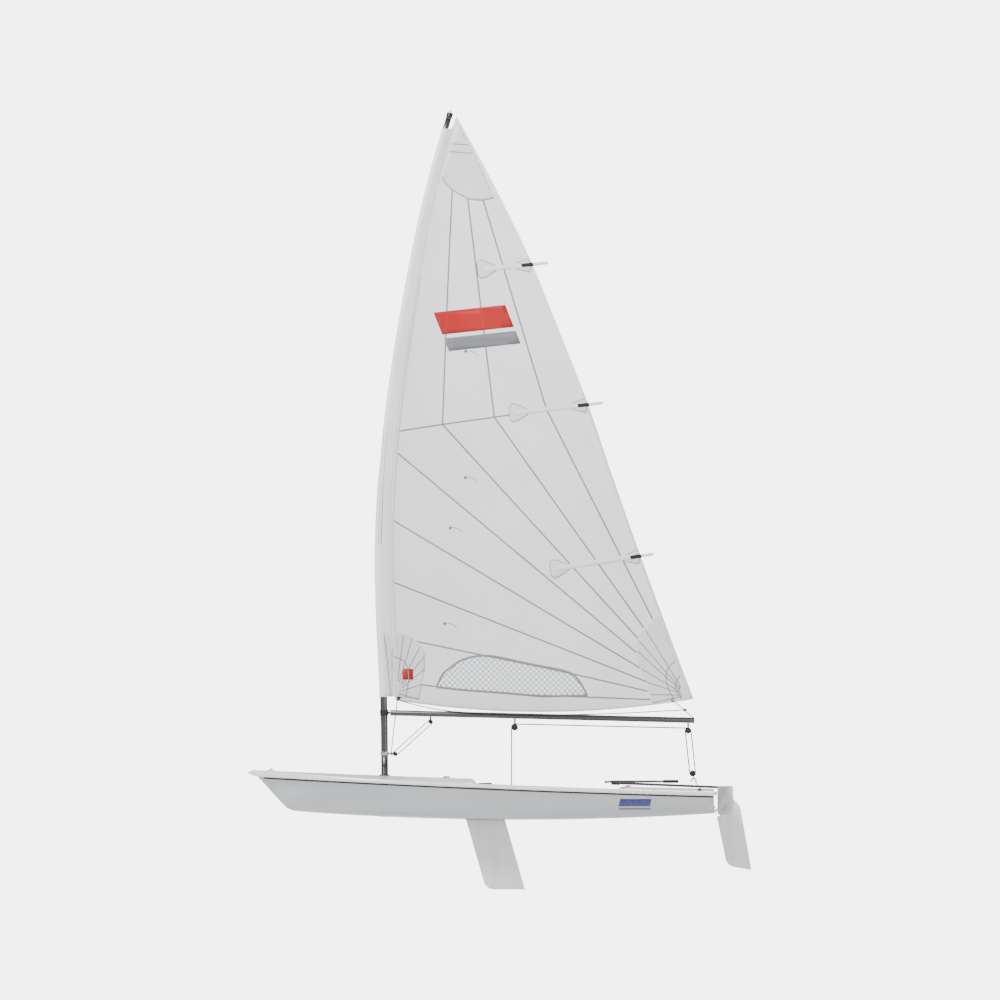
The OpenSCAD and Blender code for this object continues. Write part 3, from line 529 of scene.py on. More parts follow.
def through(points, count):
    """Smooth path of count points through a few."""
    return [curve([Vector(p) for p in points], i / (count - 1)) for i in range(count)]


def tree_of(mesh):
    """Search tree of a mesh, for casting points onto it."""
    return BVHTree.FromPolygons([v.co for v in mesh.vertices],
                                [list(p.vertices) for p in mesh.polygons])


def join_meshes(name, meshes):
    bm = bmesh.new()
    for mesh in meshes:
        bm.from_mesh(mesh)
    return to_mesh(bm, name)


# ---------------------------------------------------------------- surface of the sail
SLEEVE_LOW, SLEEVE_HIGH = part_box("sail_sleeve")
MAST_LINE = [(0.872, 0, 0.4), (0.881, 0, 1.043), (0.919, 0, 1.923), (0.917, 0, 2.648),
             (0.86, 0, 3.437), (0.772, 0, 4.1), (0.647, 0, 4.834), (0.509, 0, 5.5),
             (0.392, 0, 5.95), (0.291, 0, 6.294)]
LEECH_LINE = [(-1.931, 0, 1.025), (-1.668, 0, 1.725), (-1.425, 0, 2.391), (-1.19, 0, 3.06),
              (-0.96, 0, 3.735), (-0.716, 0, 4.355), (-0.46, 0, 4.985), (-0.225, 0, 5.48),
              (0.01, 0, 5.935), (0.222, 0, 6.312)]
TACK_Z, HEAD_Z = 1.012, 6.212
SPLICE_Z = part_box("lower_mast")[1][2]
LOWER_R, UPPER_R = 0.032, 0.0255
SLEEVE_GAP, SLEEVE_WALL = 0.0018, 0.0025
LUFF_GAP = 0.0014    # from the sleeve's tail to the sail's edge
CLOTH = 0.0024       # thickness drawn; the real cloth is about 0.2 mm
DRAFT = 0.06         # depth of the belly, as a share of the width
FOOT_ROUND = 0.112   # drop of the foot below a straight line
MAST_SAMPLES = [tuple(curve(MAST_LINE, i / 400)) for i in range(401)]
MAST_FOOT, MAST_STEP = MAST_LINE[0][2], 0.02
MAST_TABLE = [(z, lookup([(p[2], p[0]) for p in MAST_SAMPLES], z))
              for z in (MAST_FOOT + MAST_STEP * i for i in range(300))]


def mast_centre(z):
    """How far forward the mast's centre is at a height."""
    return lookup(MAST_TABLE[max(0, int((z - MAST_FOOT) / MAST_STEP) - 1):][:4], z)


def sleeve_back(t):
    """How far the sleeve's tail stands aft of the mast's centre."""
    return 0.088 + 0.022 * (1 - t) ** 6 - 0.03 * t ** 4


def sail_point(t, v, lift=0.0):
    """Point on the sail: t up the luff, v from luff to leech, lift towards port."""
    z = lerp(TACK_Z, HEAD_Z, t)
    luff = Vector((mast_centre(z) - sleeve_back(t) - LUFF_GAP, 0, z))
    leech = curve(LEECH_LINE, t)
    width = luff.x - leech.x
    belly = math.sin(math.pi * max(v, 0) ** 0.8)
    return Vector((lerp(luff.x, leech.x, v),
                   lift - DRAFT * width * belly * (1 - 0.3 * t),
                   lerp(luff.z, leech.z, v) - FOOT_ROUND * 4 * v * (1 - v) * (1 - t) ** 6))


def height_on(v, z):
    """The t at which the sail's line v passes a height."""
    low, high = 0.0, 1.0
    for _ in range(24):
        middle = (low + high) / 2
        low, high = (middle, high) if sail_point(middle, v).z < z else (low, middle)
    return low


# ---------------------------------------------------------------- sail, window and sleeve
SAIL_ROWS, SAIL_COLS = 150, 84
WINDOW_TOP = [(0.399, 0, 1.134), (0.35, 0, 1.24), (0.279, 0, 1.306), (0.143, 0, 1.388),
              (-0.072, 0, 1.415), (-0.42, 0, 1.346), (-0.773, 0, 1.274), (-0.882, 0, 1.197),
              (-0.963, 0, 1.06)]
WINDOW = ([(p.x, p.z) for p in through(WINDOW_TOP, 41)]
          + [(-0.56, 1.05), (-0.174, 1.085), (0.12, 1.105)])
LUFF_TUCK = 0.006    # the cloth's edge inside the sleeve's tail
FILM = 0.0008        # thickness drawn for the window
WINDOW_LAP = 0.014
KNIFE_REACH = 1.0


def sheet_mesh(name, point_at, rows, cols, thickness):
    """Closed sheet of cloth over a grid of points, half its thickness to each side."""
    def grid(side):
        return [point_at(i / rows, j / cols) + Vector((0, side * thickness / 2, 0))
                for i in range(rows + 1) for j in range(cols + 1)]
    points = grid(1) + grid(-1)
    back = (rows + 1) * (cols + 1)
    rim = ([j for j in range(cols + 1)]
           + [i * (cols + 1) + cols for i in range(1, rows + 1)]
           + [rows * (cols + 1) + j for j in range(cols - 1, -1, -1)]
           + [i * (cols + 1) for i in range(rows - 1, 0, -1)])
    faces = []
    for i in range(rows):
        for j in range(cols):
            a = i * (cols + 1) + j
            faces.append([a, a + 1, a + cols + 2, a + cols + 1])
            faces.append([back + a, back + a + cols + 1, back + a + cols + 2, back + a + 1])
    faces += [[rim[k], rim[(k + 1) % len(rim)], back + rim[(k + 1) % len(rim)], back + rim[k]][::-1]
              for k in range(len(rim))]
    return outward(from_faces(name, points, faces))


def prism(name, outline, reach):
    """Upright slab through an outline of (x, z) pairs, reach to each side."""
    return rings_mesh(name, [[(x, -reach, z) for x, z in outline],
                             [(x, reach, z) for x, z in outline]])


def grown(outline, by):
    """Outline moved outwards by a distance."""
    points = [Vector(p) for p in outline]
    middle = sum(points, Vector((0, 0))) / len(points)
    out = []
    for i, point in enumerate(points):
        along = (points[(i + 1) % len(points)] - points[i - 1]).normalized()
        side = Vector((along.y, -along.x))
        if side.dot(point - middle) < 0:
            side.negate()
        out.append(tuple(point + side * by))
    return out


def cut_out(mesh, name, outline, keep_inside=False):
    """Cloth mesh with the outline cut out of it, or with only the outline kept."""
    cloth = bpy.data.objects.new(name, mesh)
    knife = bpy.data.objects.new(name + "_knife", prism(name + "_knife", outline, KNIFE_REACH))
    for obj in (cloth, knife):
        bpy.context.scene.collection.objects.link(obj)
    finished(cloth, ("BOOLEAN", {"object": knife, "solver": "EXACT", "operation":
                                 "INTERSECT" if keep_inside else "DIFFERENCE"}))
    made = cloth.data
    for obj in (cloth, knife):
        bpy.data.objects.remove(obj)
    return made


def window_grid(a, b):
    """The part of the sail's surface that the window needs."""
    return sail_point(lerp(0.0, 0.12, a), lerp(0.08, 0.68, b))


def tucked_grid(a, b):
    """The sail's surface, with its luff edge tucked into the sleeve."""
    return sail_point(a, b) + Vector((LUFF_TUCK if b == 0 else 0, 0, 0))


SAIL_WHOLE = sheet_mesh("sail_whole", tucked_grid, SAIL_ROWS, SAIL_COLS, CLOTH)
SAIL_TREE = tree_of(SAIL_WHOLE)


ABEAM = 3.0          # far enough out to start a ray at the side
SUNK = -0.0002       # the foot of a sewn layer, just under its surface


def cast_in(x, z, side, tree):
    """Where a ray from the side meets a surface, and the way it faces there, or None twice."""
    return tree.ray_cast(Vector((x, side * ABEAM, z)), OUT_PORT * -side)[:2]


def on_cloth(x, z, side, lift, tree=SAIL_TREE):
    """Point a lift above the cloth on its port (1) or starboard (-1) face, or None off it."""
    spot, normal = cast_in(x, z, side, tree)
    return spot + normal * lift if spot else None


def held_to_cloth(x, z, side, lift, tree=SAIL_TREE):
    """As on_cloth, but a point off the cloth is brought to its nearest edge."""
    found = on_cloth(x, z, side, lift, tree)
    if found is None:
        spot, _, _, _ = tree.find_nearest(Vector((x, 0, z)))
        found = spot + OUT_PORT * side * lift
    return found


def flat_curve(points, step):
    """Evenly spaced (x, z) points along a smooth line through a few."""
    path = [curve([(x, 0, z) for x, z in points], i / 60) for i in range(61)]
    length = sum((b - a).length for a, b in zip(path, path[1:]))
    count = max(2, round(length / step))
    spaced, run, target = [path[0]], 0.0, length / count
    for a, b in zip(path, path[1:]):
        gap = (b - a).length
        while gap and run + gap >= target * len(spaced) - 1e-9 and len(spaced) <= count:
            spaced.append(a.lerp(b, (target * len(spaced) - run) / gap))
        run += gap
    return [(p.x, p.z) for p in spaced]


def tape_mesh(name, points, width, rise, side, step=0.025, tree=SAIL_TREE, straight=False):
    """Raised strip along a line of (x, z) points, lying on one face of the cloth."""
    line = points if straight else flat_curve(points, step)
    if straight:
        line = [(lerp(a[0], b[0], k / 12), lerp(a[1], b[1], k / 12))
                for a, b in zip(points, points[1:]) for k in range(12)] + [points[-1]]
    rings = []
    for i, (x, z) in enumerate(line):
        ahead, behind = line[min(i + 1, len(line) - 1)], line[max(i - 1, 0)]
        along = Vector((ahead[0] - behind[0], ahead[1] - behind[1])).normalized()
        across = Vector((-along.y, along.x)) * width / 2
        ring = [on_cloth(x + k * across.x, z + k * across.y, side, lift, tree)
                for k, lift in ((-1, SUNK), (-0.9, rise), (0.9, rise), (1, SUNK))]
        if all(ring):
            rings.append(ring)
    return rings_mesh(name, rings) if len(rings) > 1 else None


def tapes(name, lines, finish, width, rise, body="rig", sides=(1, -1), **more):
    """One piece of many raised strips, on both faces of the cloth."""
    made = [tape_mesh(name, line, width, rise, side, **more) for line in lines for side in sides]
    return place(name, join_meshes(name, [m for m in made if m]), finish, body)


def patch_mesh(name, outline, cast, out, cell=0.06):
    """Thin layer inside an outline of pairs, laid on a surface that cast(a, b, lift) finds."""
    bm = bmesh.new()
    bm.faces.new([bm.verts.new((a, 0, b)) for a, b in outline])
    for axis, normal in ((0, (1, 0, 0)), (1, (0, 0, 1))):
        low, high = min(p[axis] for p in outline), max(p[axis] for p in outline)
        for k in range(1, int((high - low) / cell) + 1):
            bmesh.ops.bisect_plane(bm, geom=bm.verts[:] + bm.edges[:] + bm.faces[:],
                                   plane_co=Vector(normal) * (low + k * cell), plane_no=normal)
    bmesh.ops.triangulate(bm, faces=[f for f in bm.faces if len(f.verts) > 4])
    edge = {v for e in bm.edges if e.is_boundary for v in e.verts}
    feet = {}
    for v in bm.verts:
        top, foot = (cast(v.co.x, v.co.z, lift) for lift in (out[1], SUNK))
        if top is None:
            raise ValueError(f"{name} reaches past its surface at {v.co.x:.3f}, {v.co.z:.3f}")
        if v in edge:
            feet[v] = foot
        v.co = top
    skirt = {v: bm.verts.new(foot) for v, foot in feet.items()}
    for e in [e for e in bm.edges if e.is_boundary]:
        a, b = e.verts
        bm.faces.new([a, b, skirt[b], skirt[a]])
    bmesh.ops.recalc_face_normals(bm, faces=bm.faces)
    if sum(f.normal.dot(out[0]) * f.calc_area() for f in bm.faces) < 0:
        bmesh.ops.reverse_faces(bm, faces=bm.faces)
    return to_mesh(bm, name)


def patches(name, outlines, finish, rise, sides=(1, -1), body="rig", tree=SAIL_TREE, **more):
    """One piece of layers on the side faces of the cloth or of the hull."""
    made = [patch_mesh(name, o, lambda x, z, lift, side=side: held_to_cloth(x, z, side, lift, tree),
                       (OUT_PORT * side, rise), **more) for o in outlines for side in sides]
    return place(name, join_meshes(name, made), finish, body)


def make_sail():
    """The sail with its window cut out, and the film that closes it; returns the film."""
    mesh = cut_out(SAIL_WHOLE.copy(), "sail_cloth", WINDOW)
    sail = place("sail_cloth", mesh, "sail", "rig")
    sail.data.set_sharp_from_angle(angle=math.radians(50))
    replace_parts(sail, "sail")
    film_mesh = sheet_mesh("window_film", window_grid, 40, 84, FILM)
    film = place("window_film", cut_out(film_mesh, "window_film", grown(WINDOW, WINDOW_LAP), True),
                 "film", "rig")
    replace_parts(film, "sail_window")
    return film


SLEEVE_STEPS, SLEEVE_SIDES = 150, 28
SLEEVE_NARROWS = (SPLICE_Z + 0.19, 0.12)   # height where it starts to narrow, and over how much
SLEEVE_TAIL = 0.0022                       # half the hollow at the tail
TAIL_HEM = 0.006                           # solid part of the tail


def sleeve_ring(z, wall, hem):
    """Closed ring of the luff sleeve at a height: round the mast, drawn to a flat tail."""
    r = (lerp(LOWER_R, UPPER_R, clamp((z - SLEEVE_NARROWS[0]) / SLEEVE_NARROWS[1]))
         + SLEEVE_GAP + wall)
    c = mast_centre(z)
    x = c - (sleeve_back((z - TACK_Z) / (HEAD_Z - TACK_Z)) - hem)
    tail = SLEEVE_TAIL + wall
    port, starboard = Vector((x, tail, z)), Vector((x, -tail, z))
    ring = [Vector((c + r * 1.04 * math.cos(a), r * math.sin(a), z))
            for a in (math.radians(105 - 210 * i / SLEEVE_SIDES) for i in range(SLEEVE_SIDES + 1))]
    return (ring + [ring[-1].lerp(starboard, k) for k in (0.35, 0.7)]
            + [starboard, port] + [port.lerp(ring[0], k) for k in (0.3, 0.65)])


def make_sleeve():
    """Sleeve that holds the sail to the mast: a hollow wall, closed at both ends."""
    heights = [lerp(SLEEVE_LOW.z, SLEEVE_HIGH.z, i / SLEEVE_STEPS)
               for i in range(SLEEVE_STEPS + 1)]
    outer = [sleeve_ring(z, SLEEVE_WALL, 0) for z in heights]
    inner = [sleeve_ring(z, 0.0002, TAIL_HEM) for z in heights]
    wall = rings_mesh("luff_sleeve", outer + inner[::-1] + [outer[0]], caps=False)
    sleeve = place("luff_sleeve", outward(wall, WELD), "sail", "rig")
    sleeve.data.set_sharp_from_angle(angle=math.radians(45))
    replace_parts(sleeve, "sail_sleeve")
    return sleeve


# ---------------------------------------------------------------- what is sewn on the sail
SEAM_W, SEAM_RISE = 0.014, 0.0006
CROSS = [(0.768, 3.451), (0.348, 3.515), (-0.122, 3.581), (-0.276, 3.604), (-0.594, 3.655)]
PANEL_SEAMS = [
    [(0.259, 5.639), (0.297, 4.831), (0.348, 3.515)],
    [(0.119, 5.563), (0.03, 4.831), (-0.122, 3.584)],
    [(-0.021, 5.55), (-0.238, 4.831), (-0.594, 3.655)],
    CROSS,
    [(0.794, 3.288), (-1.408, 1.449)], [(0.832, 2.667), (-1.445, 1.306)],
    [(0.838, 2.102), (-1.505, 1.182)], [(0.348, 3.515), (-1.422, 1.577)],
    [(-0.122, 3.581), (-1.475, 1.674)], [(-0.594, 3.655), (-1.557, 1.751)],
    [(0.74, 1.583), (0.533, 1.537), (0.005, 1.427), (-0.73, 1.276), (-1.513, 1.096)],
    [(0.533, 1.153), (-0.174, 1.078), (-0.963, 1.043), (-1.535, 1.02)],
]
HEAD_ARC = [(0.352, 5.76), (0.31, 5.69), (0.252, 5.639), (0.112, 5.563), (-0.015, 5.55),
            (-0.118, 5.57)]
CLEW_EDGE = [(-1.605, 1.78), (-1.483, 1.67), (-1.422, 1.569), (-1.408, 1.472),
             (-1.445, 1.306), (-1.505, 1.179), (-1.535, 1.066), (-1.55, 0.985)]
TACK_EDGE = [(0.79, 1.625), (0.70, 1.62), (0.62, 1.585), (0.545, 1.51), (0.507, 1.42),
             (0.507, 1.30), (0.533, 1.161), (0.558, 1.02)]
CORNERS = [   # smooth inner edge, then the points along the sail's own edges
    (HEAD_ARC, [(-0.01, 5.83), (0.1, 6.05), (0.2, 6.235), (0.225, 6.15), (0.29, 5.95)]),
    (CLEW_EDGE, [(-1.75, 1.0), (-1.905, 1.028), (-1.85, 1.19), (-1.74, 1.47)]),
    (TACK_EDGE, [(0.765, 1.045), (0.79, 1.2)]),
]
CLEW_ARCS = [[(-1.761, 1.37), (-1.705, 1.315), (-1.68, 1.25), (-1.693, 1.143), (-1.752, 1.02)],
             [(-1.807, 1.235), (-1.775, 1.19), (-1.769, 1.12), (-1.821, 1.025)]]
TACK_ARC = [(0.79, 1.41), (0.69, 1.36), (0.655, 1.23), (0.68, 1.04)]
HEAD_LINES = [[(0.262, 6.06), (0.122, 6.052)], [(0.285, 5.99), (0.085, 5.975)]]
BATTENS = [(4.924, 4.982, 0.65, 1.11), (3.622, 3.712, 0.65, 1.075), (2.208, 2.342, 0.675, 1.052)]
POCKET_W = 0.045
SCRIM_W = 0.006      # a real scrim's threads are 1 mm, too fine to show from the beam
TELLTALES = [(0.138, 4.179), (0.141, 3.034), (0.278, 2.576), (0.329, 1.709)]
DISC_R = 0.014
YARN = [(0, 0), (-0.035, 0.004), (-0.07, -0.008), (-0.115, -0.036)]
LUFF_SQUARE = [(0.615, 1.201), (0.711, 1.201), (0.711, 1.299), (0.615, 1.299)]
UPPER_BAND = [(-0.30, 4.40), (-0.22, 4.60), (0.43, 4.53), (0.35, 4.33)]
LOWER_BAND = [(-0.36, 4.25), (-0.315, 4.365), (0.335, 4.295), (0.29, 4.18)]


def along_sail(name, v0, v1, z0, z1, width, low, high, steps=40, tips=True):
    """Flat bar on the sail's port face between two lifts, with rounded ends."""
    rings = []
    for i in range(steps + 1):
        v = lerp(v0, v1, i / steps)
        z = lerp(z0, z1, i / steps)
        reach = min(i, steps - i) / steps * abs(v1 - v0) * 1.6
        half = width / 2
        if tips and reach < half:
            half *= math.sqrt(max(0.09, 1 - (1 - reach / half) ** 2))
        rings.append([sail_point(height_on(v, z + up * half), v, lift)
                      for up, lift in ((-1, low), (-0.92, high), (0.92, high), (1, low))])
    return rings_mesh(name, rings)


def slit_line(t0, t1, v, count=60):
    """(x, z) points of the sail's line v between two heights up the luff."""
    points = [sail_point(lerp(t0, t1, i / count), v) for i in range(count + 1)]
    return [(p.x, p.z) for p in points]


def foot_line(t, v0, v1, count=60):
    """(x, z) points along the sail's foot, from the share v0 of its width to v1."""
    points = [sail_point(t, lerp(v0, v1, i / count)) for i in range(count + 1)]
    return [(p.x, p.z) for p in points]


def rays(centre, outline, start):
    """Seams that fan out of a corner, from a share start of the way to an outline."""
    return [[tuple(Vector(centre).lerp(Vector(end), k)) for k in (start, 0.97)]
            for end in outline[1:8]]


def diamond_threads(pitch):
    """Straight threads of the window's scrim, two ways, kept inside its outline."""
    tree, lines = tree_of(prism("window_outline", grown(WINDOW, -0.004), 0.5)), []
    for slope in (1.0, -1.0):
        along = Vector((1, 0, slope)).normalized()
        for k in range(-60, 61):
            start = Vector((-0.3, 0, 1.2)) + Vector((k * pitch * math.sqrt(2), 0, 0)) - along * 2
            hit, _, _, _ = tree.ray_cast(start, along)
            while hit:
                inside, _, _, _ = tree.ray_cast(hit + along * 1e-4, along)
                if inside is None:
                    break
                lines.append([(hit.x, hit.z), (inside.x, inside.z)])
                hit, _, _, _ = tree.ray_cast(inside + along * 1e-4, along)
    return lines


POCKET_END = [(-0.085, 0.055), (-0.06, 0.08), (-0.01, 0.072), (0.08, 0.028), (0.08, -0.028),
              (-0.01, -0.078), (-0.05, -0.09), (-0.085, -0.055)]
LEECH_GUSSET = [(-0.15, 0.026), (-0.028, 0.072), (0.012, -0.068), (-0.15, -0.026)]
TACK_ON_SLEEVE = [(0.80, 1.052), (0.80, 1.63), (0.86, 1.61), (0.885, 1.585), (0.878, 1.3),
                  (0.873, 1.052)]


def dress_sail(film, sleeve):
    """Seams, corner layers, tapes, batten pockets, marks and telltales."""
    tapes("panel_seams", PANEL_SEAMS, "tape", SEAM_W, SEAM_RISE)
    patches("corner_layers", [flat_curve(edge, 0.03) + rest for edge, rest in CORNERS],
            "patch", 0.0011, cell=0.03)
    edges = [slit_line(0.004, 0.996, 0.994)[::-1], foot_line(0.003, 0.02, 0.99)]
    tapes("edge_tapes", edges, "patch", 0.021, 0.0014, step=0.03)
    tapes("luff_tape", [slit_line(0.01, 0.99, 0.012)], "patch", 0.03, 0.0013, step=0.03)
    corner_lines = (HEAD_LINES + [HEAD_ARC] + rays((-1.86, 1.06), CLEW_EDGE, 0.12)
                    + rays((0.77, 1.08), TACK_EDGE, 0.2))
    tapes("corner_arcs", CLEW_ARCS + [TACK_ARC], "tape", 0.009, 0.0028)
    tapes("corner_seams", corner_lines, "tape", 0.009, 0.0019)
    around = grown(WINDOW, 0.002)
    tapes("window_seam", [around + around[:1]], "tape", 0.02, 0.0011, straight=True)
    film_tree = tree_of(film.data)
    tapes("scrim_threads", diamond_threads(0.036), "thread", SCRIM_W, 0.0003, tree=film_tree,
          straight=True)
    pockets, bars, ends, gussets = [], [], [], []
    low = CLOTH / 2 - 0.0002
    for z0, z1, v0, v1 in BATTENS:
        at_leech = lerp(z0, z1, (1 - v0) / (v1 - v0))
        inner, outer = (sail_point(height_on(v, z), v) for v, z in ((v0, z0), (1, at_leech)))
        along = (outer - inner).normalized()
        across = Vector((-along.z, 0, along.x))
        reach = 1 / (outer - inner).length * (1 - v0)
        for origin, shape in ((inner, POCKET_END), (outer, LEECH_GUSSET)):
            spots = [origin + along * u + across * w for u, w in shape]
            gussets.append([(p.x, p.z) for p in spots])
        pockets.append(along_sail("pocket", v0 - 0.02, 0.985, z0 - 0.002, at_leech, POCKET_W,
                                  low, CLOTH / 2 + 0.0042))
        bars.append(along_sail("bar", v0 + 0.02, v1, z0, z1, 0.028, CLOTH / 2 + 0.0005,
                               CLOTH / 2 + 0.0036))
        ends.append(along_sail("end", 1 - 0.095 * reach, 1 + 0.006 * reach,
                               lerp(z0, z1, (1 - 0.095 * reach - v0) / (v1 - v0)), at_leech,
                               0.034, low, CLOTH / 2 + 0.0058, tips=False))
    pocket = place("batten_pockets", join_meshes("batten_pockets", pockets), "batten", "rig")
    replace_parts(pocket, "batten_upper", "batten_middle", "batten_lower")
    place("batten_bars", join_meshes("batten_bars", bars), "foil", "rig")
    place("batten_ends", join_meshes("batten_ends", ends), "webbing", "rig")
    patches("batten_gussets", gussets, "patch", 0.0012, cell=0.03)
    tapes("gusset_seams", [g + [g[0]] for g in gussets], "tape", 0.006, 0.0016, straight=True)
    discs = [[(x + DISC_R * math.cos(a), z + DISC_R * math.sin(a))
              for a in (k * math.tau / 16 for k in range(16))] for x, z in TELLTALES]
    patches("telltale_discs", discs, "tape", 0.0012, cell=0.02)
    tapes("telltale_yarns", [[(x + a, z + b) for a, b in YARN] for x, z in TELLTALES],
          "stitch", 0.005, 0.0026, step=0.006)
    sleeve_tree = tree_of(sleeve.data)
    tapes("chafe_strip", [[(0.868, 3.44), (0.898, 2.95), (0.915, 2.43)]], "tape", 0.03, 0.001,
          tree=sleeve_tree)
    patches("tack_layers_on_sleeve", [TACK_ON_SLEEVE], "patch", 0.001, cell=0.02,
            tree=sleeve_tree)
    tapes("sleeve_seams", [[(0.88, 1.62), (0.845, 1.34), (0.82, 1.06)]], "tape", 0.008, 0.0016,
          tree=sleeve_tree)
    patches("luff_square", [LUFF_SQUARE], "red", 0.0024, sides=(1,))
    patches("sail_bands_red", [UPPER_BAND], "red", 0.0014)
    patches("sail_bands_grey", [LOWER_BAND], "grey", 0.0014)


# ---------------------------------------------------------------- screws and stitches
def repeat_tree(name, shape_of):
    """Node tree that sets one small shape on every point, turned by its facing and heading."""
    tree = bpy.data.node_groups.new(name, "GeometryNodeTree")
    sockets = {}
    for label, kind in (("Points", "Geometry"), ("Width", "Float"), ("Length", "Float"),
                        ("Finish", "Material")):
        sockets[label] = tree.interface.new_socket(
            label, in_out="INPUT", socket_type="NodeSocket" + kind).identifier
    tree.interface.new_socket("Pieces", in_out="OUTPUT", socket_type="NodeSocketGeometry")
    given = add(tree, "NodeGroupInput").outputs
    vectors = [add(tree, "GeometryNodeInputNamedAttribute", {"Name": key},
                   data_type="FLOAT_VECTOR").outputs["Attribute"] for key in ("facing", "heading")]
    upright = add(tree, "FunctionNodeAlignRotationToVector", {"Vector": vectors[0]}, axis="Z")
    turned = add(tree, "FunctionNodeAlignRotationToVector", {
        "Rotation": upright.outputs[0], "Vector": vectors[1]}, axis="X", pivot_axis="Z")
    set_out = add(tree, "GeometryNodeInstanceOnPoints", {
        "Points": given["Points"], "Instance": shape_of(tree, given),
        "Rotation": turned.outputs[0]})
    real = add(tree, "GeometryNodeRealizeInstances", {"Geometry": set_out.outputs[0]})
    dressed = add(tree, "GeometryNodeSetMaterial", {
        "Geometry": real.outputs[0], "Material": given["Finish"]})
    add(tree, "NodeGroupOutput", {"Pieces": dressed.outputs[0]})
    return tree, sockets


def screw_shape(tree, given):
    """Domed head with a hexagonal socket, Width across and Length high."""
    half = add(tree, "ShaderNodeMath", {0: given["Width"], 1: 0.5}, operation="MULTIPLY")
    crown = add(tree, "ShaderNodeMath", {0: given["Width"], 1: 0.36}, operation="MULTIPLY")
    key = add(tree, "ShaderNodeMath", {0: given["Width"], 1: 0.2}, operation="MULTIPLY")
    sunk = add(tree, "ShaderNodeMath", {0: given["Length"], 1: 1.1}, operation="MULTIPLY")
    head = add(tree, "GeometryNodeMeshCone", {
        "Vertices": 14, "Radius Top": crown.outputs[0], "Radius Bottom": half.outputs[0],
        "Depth": given["Length"]})
    socket = add(tree, "GeometryNodeMeshCone", {
        "Vertices": 6, "Radius Top": key.outputs[0], "Radius Bottom": key.outputs[0],
        "Depth": sunk.outputs[0]})
    return joined(tree, head, socket)


def joined(tree, *shapes):
    whole = add(tree, "GeometryNodeJoinGeometry")
    for shape in shapes:
        tree.links.new(shape.outputs[0], whole.inputs[0])
    return whole.outputs[0]


def stitch_shape(tree, given):
    """One stitch: a short thread lying along its heading."""
    half = add(tree, "ShaderNodeMath", {0: given["Width"], 1: 0.5}, operation="MULTIPLY")
    thread = add(tree, "GeometryNodeMeshCylinder", {
        "Vertices": 5, "Radius": half.outputs[0], "Depth": given["Length"]})
    return add(tree, "GeometryNodeTransform", {
        "Geometry": thread.outputs[0], "Rotation": (0, math.radians(90), 0)}).outputs[0]


def repeated(name, trees, spots, width, length, finish, body):
    """A mesh of one small shape at each spot, a spot being (place, facing, heading)."""
    tree, sockets = trees
    mesh = from_faces(name, [p for p, _, _ in spots], [])
    for key, column in (("facing", 1), ("heading", 2)):
        values = [c for spot in spots for c in spot[column]]
        mesh.attributes.new(key, "FLOAT_VECTOR", "POINT").data.foreach_set("vector", values)
    obj = bpy.data.objects.new(name, mesh)
    bpy.context.scene.collection.objects.link(obj)
    modifier = obj.modifiers.new("repeat", "NODES")
    modifier.node_group = tree
    for label, value in (("Width", width), ("Length", length), ("Finish", FINISH[finish])):
        modifier[sockets[label]] = value
    graph = bpy.context.evaluated_depsgraph_get()
    graph.update()
    made = bpy.data.meshes.new_from_object(obj.evaluated_get(graph))
    bpy.data.objects.remove(obj)
    return place(name, made, finish, body, smooth=False)


STITCH_STEP, STITCH_LONG, STITCH_W = 0.016, 0.009, 0.0011
STITCH_LIFT = 0.0012
SCREW_W, SCREW_HIGH = 0.0075, 0.002
SCREW_SPOTS = [(0.14, 0.5), (0.86, 0.5), (0.2, 0.2), (0.8, 0.2), (0.2, 0.8), (0.8, 0.8)]


def stitches_along(line, side, offset, tree=SAIL_TREE):
    """Spots for a row of stitches beside a line of (x, z) points on one face."""
    path = flat_curve(line, STITCH_STEP)
    spots = []
    for (x0, z0), (x1, z1) in zip(path, path[1:]):
        along = Vector((x1 - x0, z1 - z0)).normalized()
        x, z = (x0 + x1) / 2 - along.y * offset, (z0 + z1) / 2 + along.x * offset
        spot, normal = cast_in(x, z, side, tree)
        if spot:
            spots.append((spot + normal * STITCH_LIFT, normal, Vector((along.x, 0, along.y))))
    return spots


def sew():
    """Two rows of stitches along every panel seam, on both faces."""
    trees = repeat_tree("stitch_row", stitch_shape)
    spots = [s for line in PANEL_SEAMS for side in (1, -1) for offset in (0.004, -0.004)
             for s in stitches_along(line, side, offset)]
    repeated("seam_stitches", trees, spots, STITCH_W, STITCH_LONG, "stitch", "rig")


def islands(mesh):
    """Lowest and highest corner of each separate lump of a mesh."""
    bm = bmesh.new()
    bm.from_mesh(mesh)
    left, found = set(bm.verts), []
    while left:
        todo, lump = [left.pop()], []
        while todo:
            vert = todo.pop()
            lump.append(vert.co.copy())
            for edge in vert.link_edges:
                other = edge.other_vert(vert)
                if other in left:
                    left.discard(other)
                    todo.append(other)
        found.append(tuple(Vector(pick(p[k] for p in lump) for k in range(3))
                           for pick in (min, max)))
    bm.free()
    return found


def screw_down(skin):
    """Screws through the feet of the deck fittings, where a foot is flat and low."""
    spots = []
    for node in SCREWED:
        tree = tree_of(skin[node].data)
        for low, high in islands(skin[node].data):
            for fx, fy in SCREW_SPOTS:
                spot, normal, _, _ = tree.ray_cast(Vector((
                    lerp(low.x, high.x, fx), lerp(low.y, high.y, fy), high.z + 0.3)), -UP)
                if spot and normal.z > 0.95 and spot.z < lerp(low.z, high.z, 0.45):
                    spots.append((spot + normal * 0.0004, normal, Vector((1, 0, 0))))
    repeated("deck_screws", repeat_tree("screws", screw_shape), spots, SCREW_W, SCREW_HIGH,
             "steel", "hull")


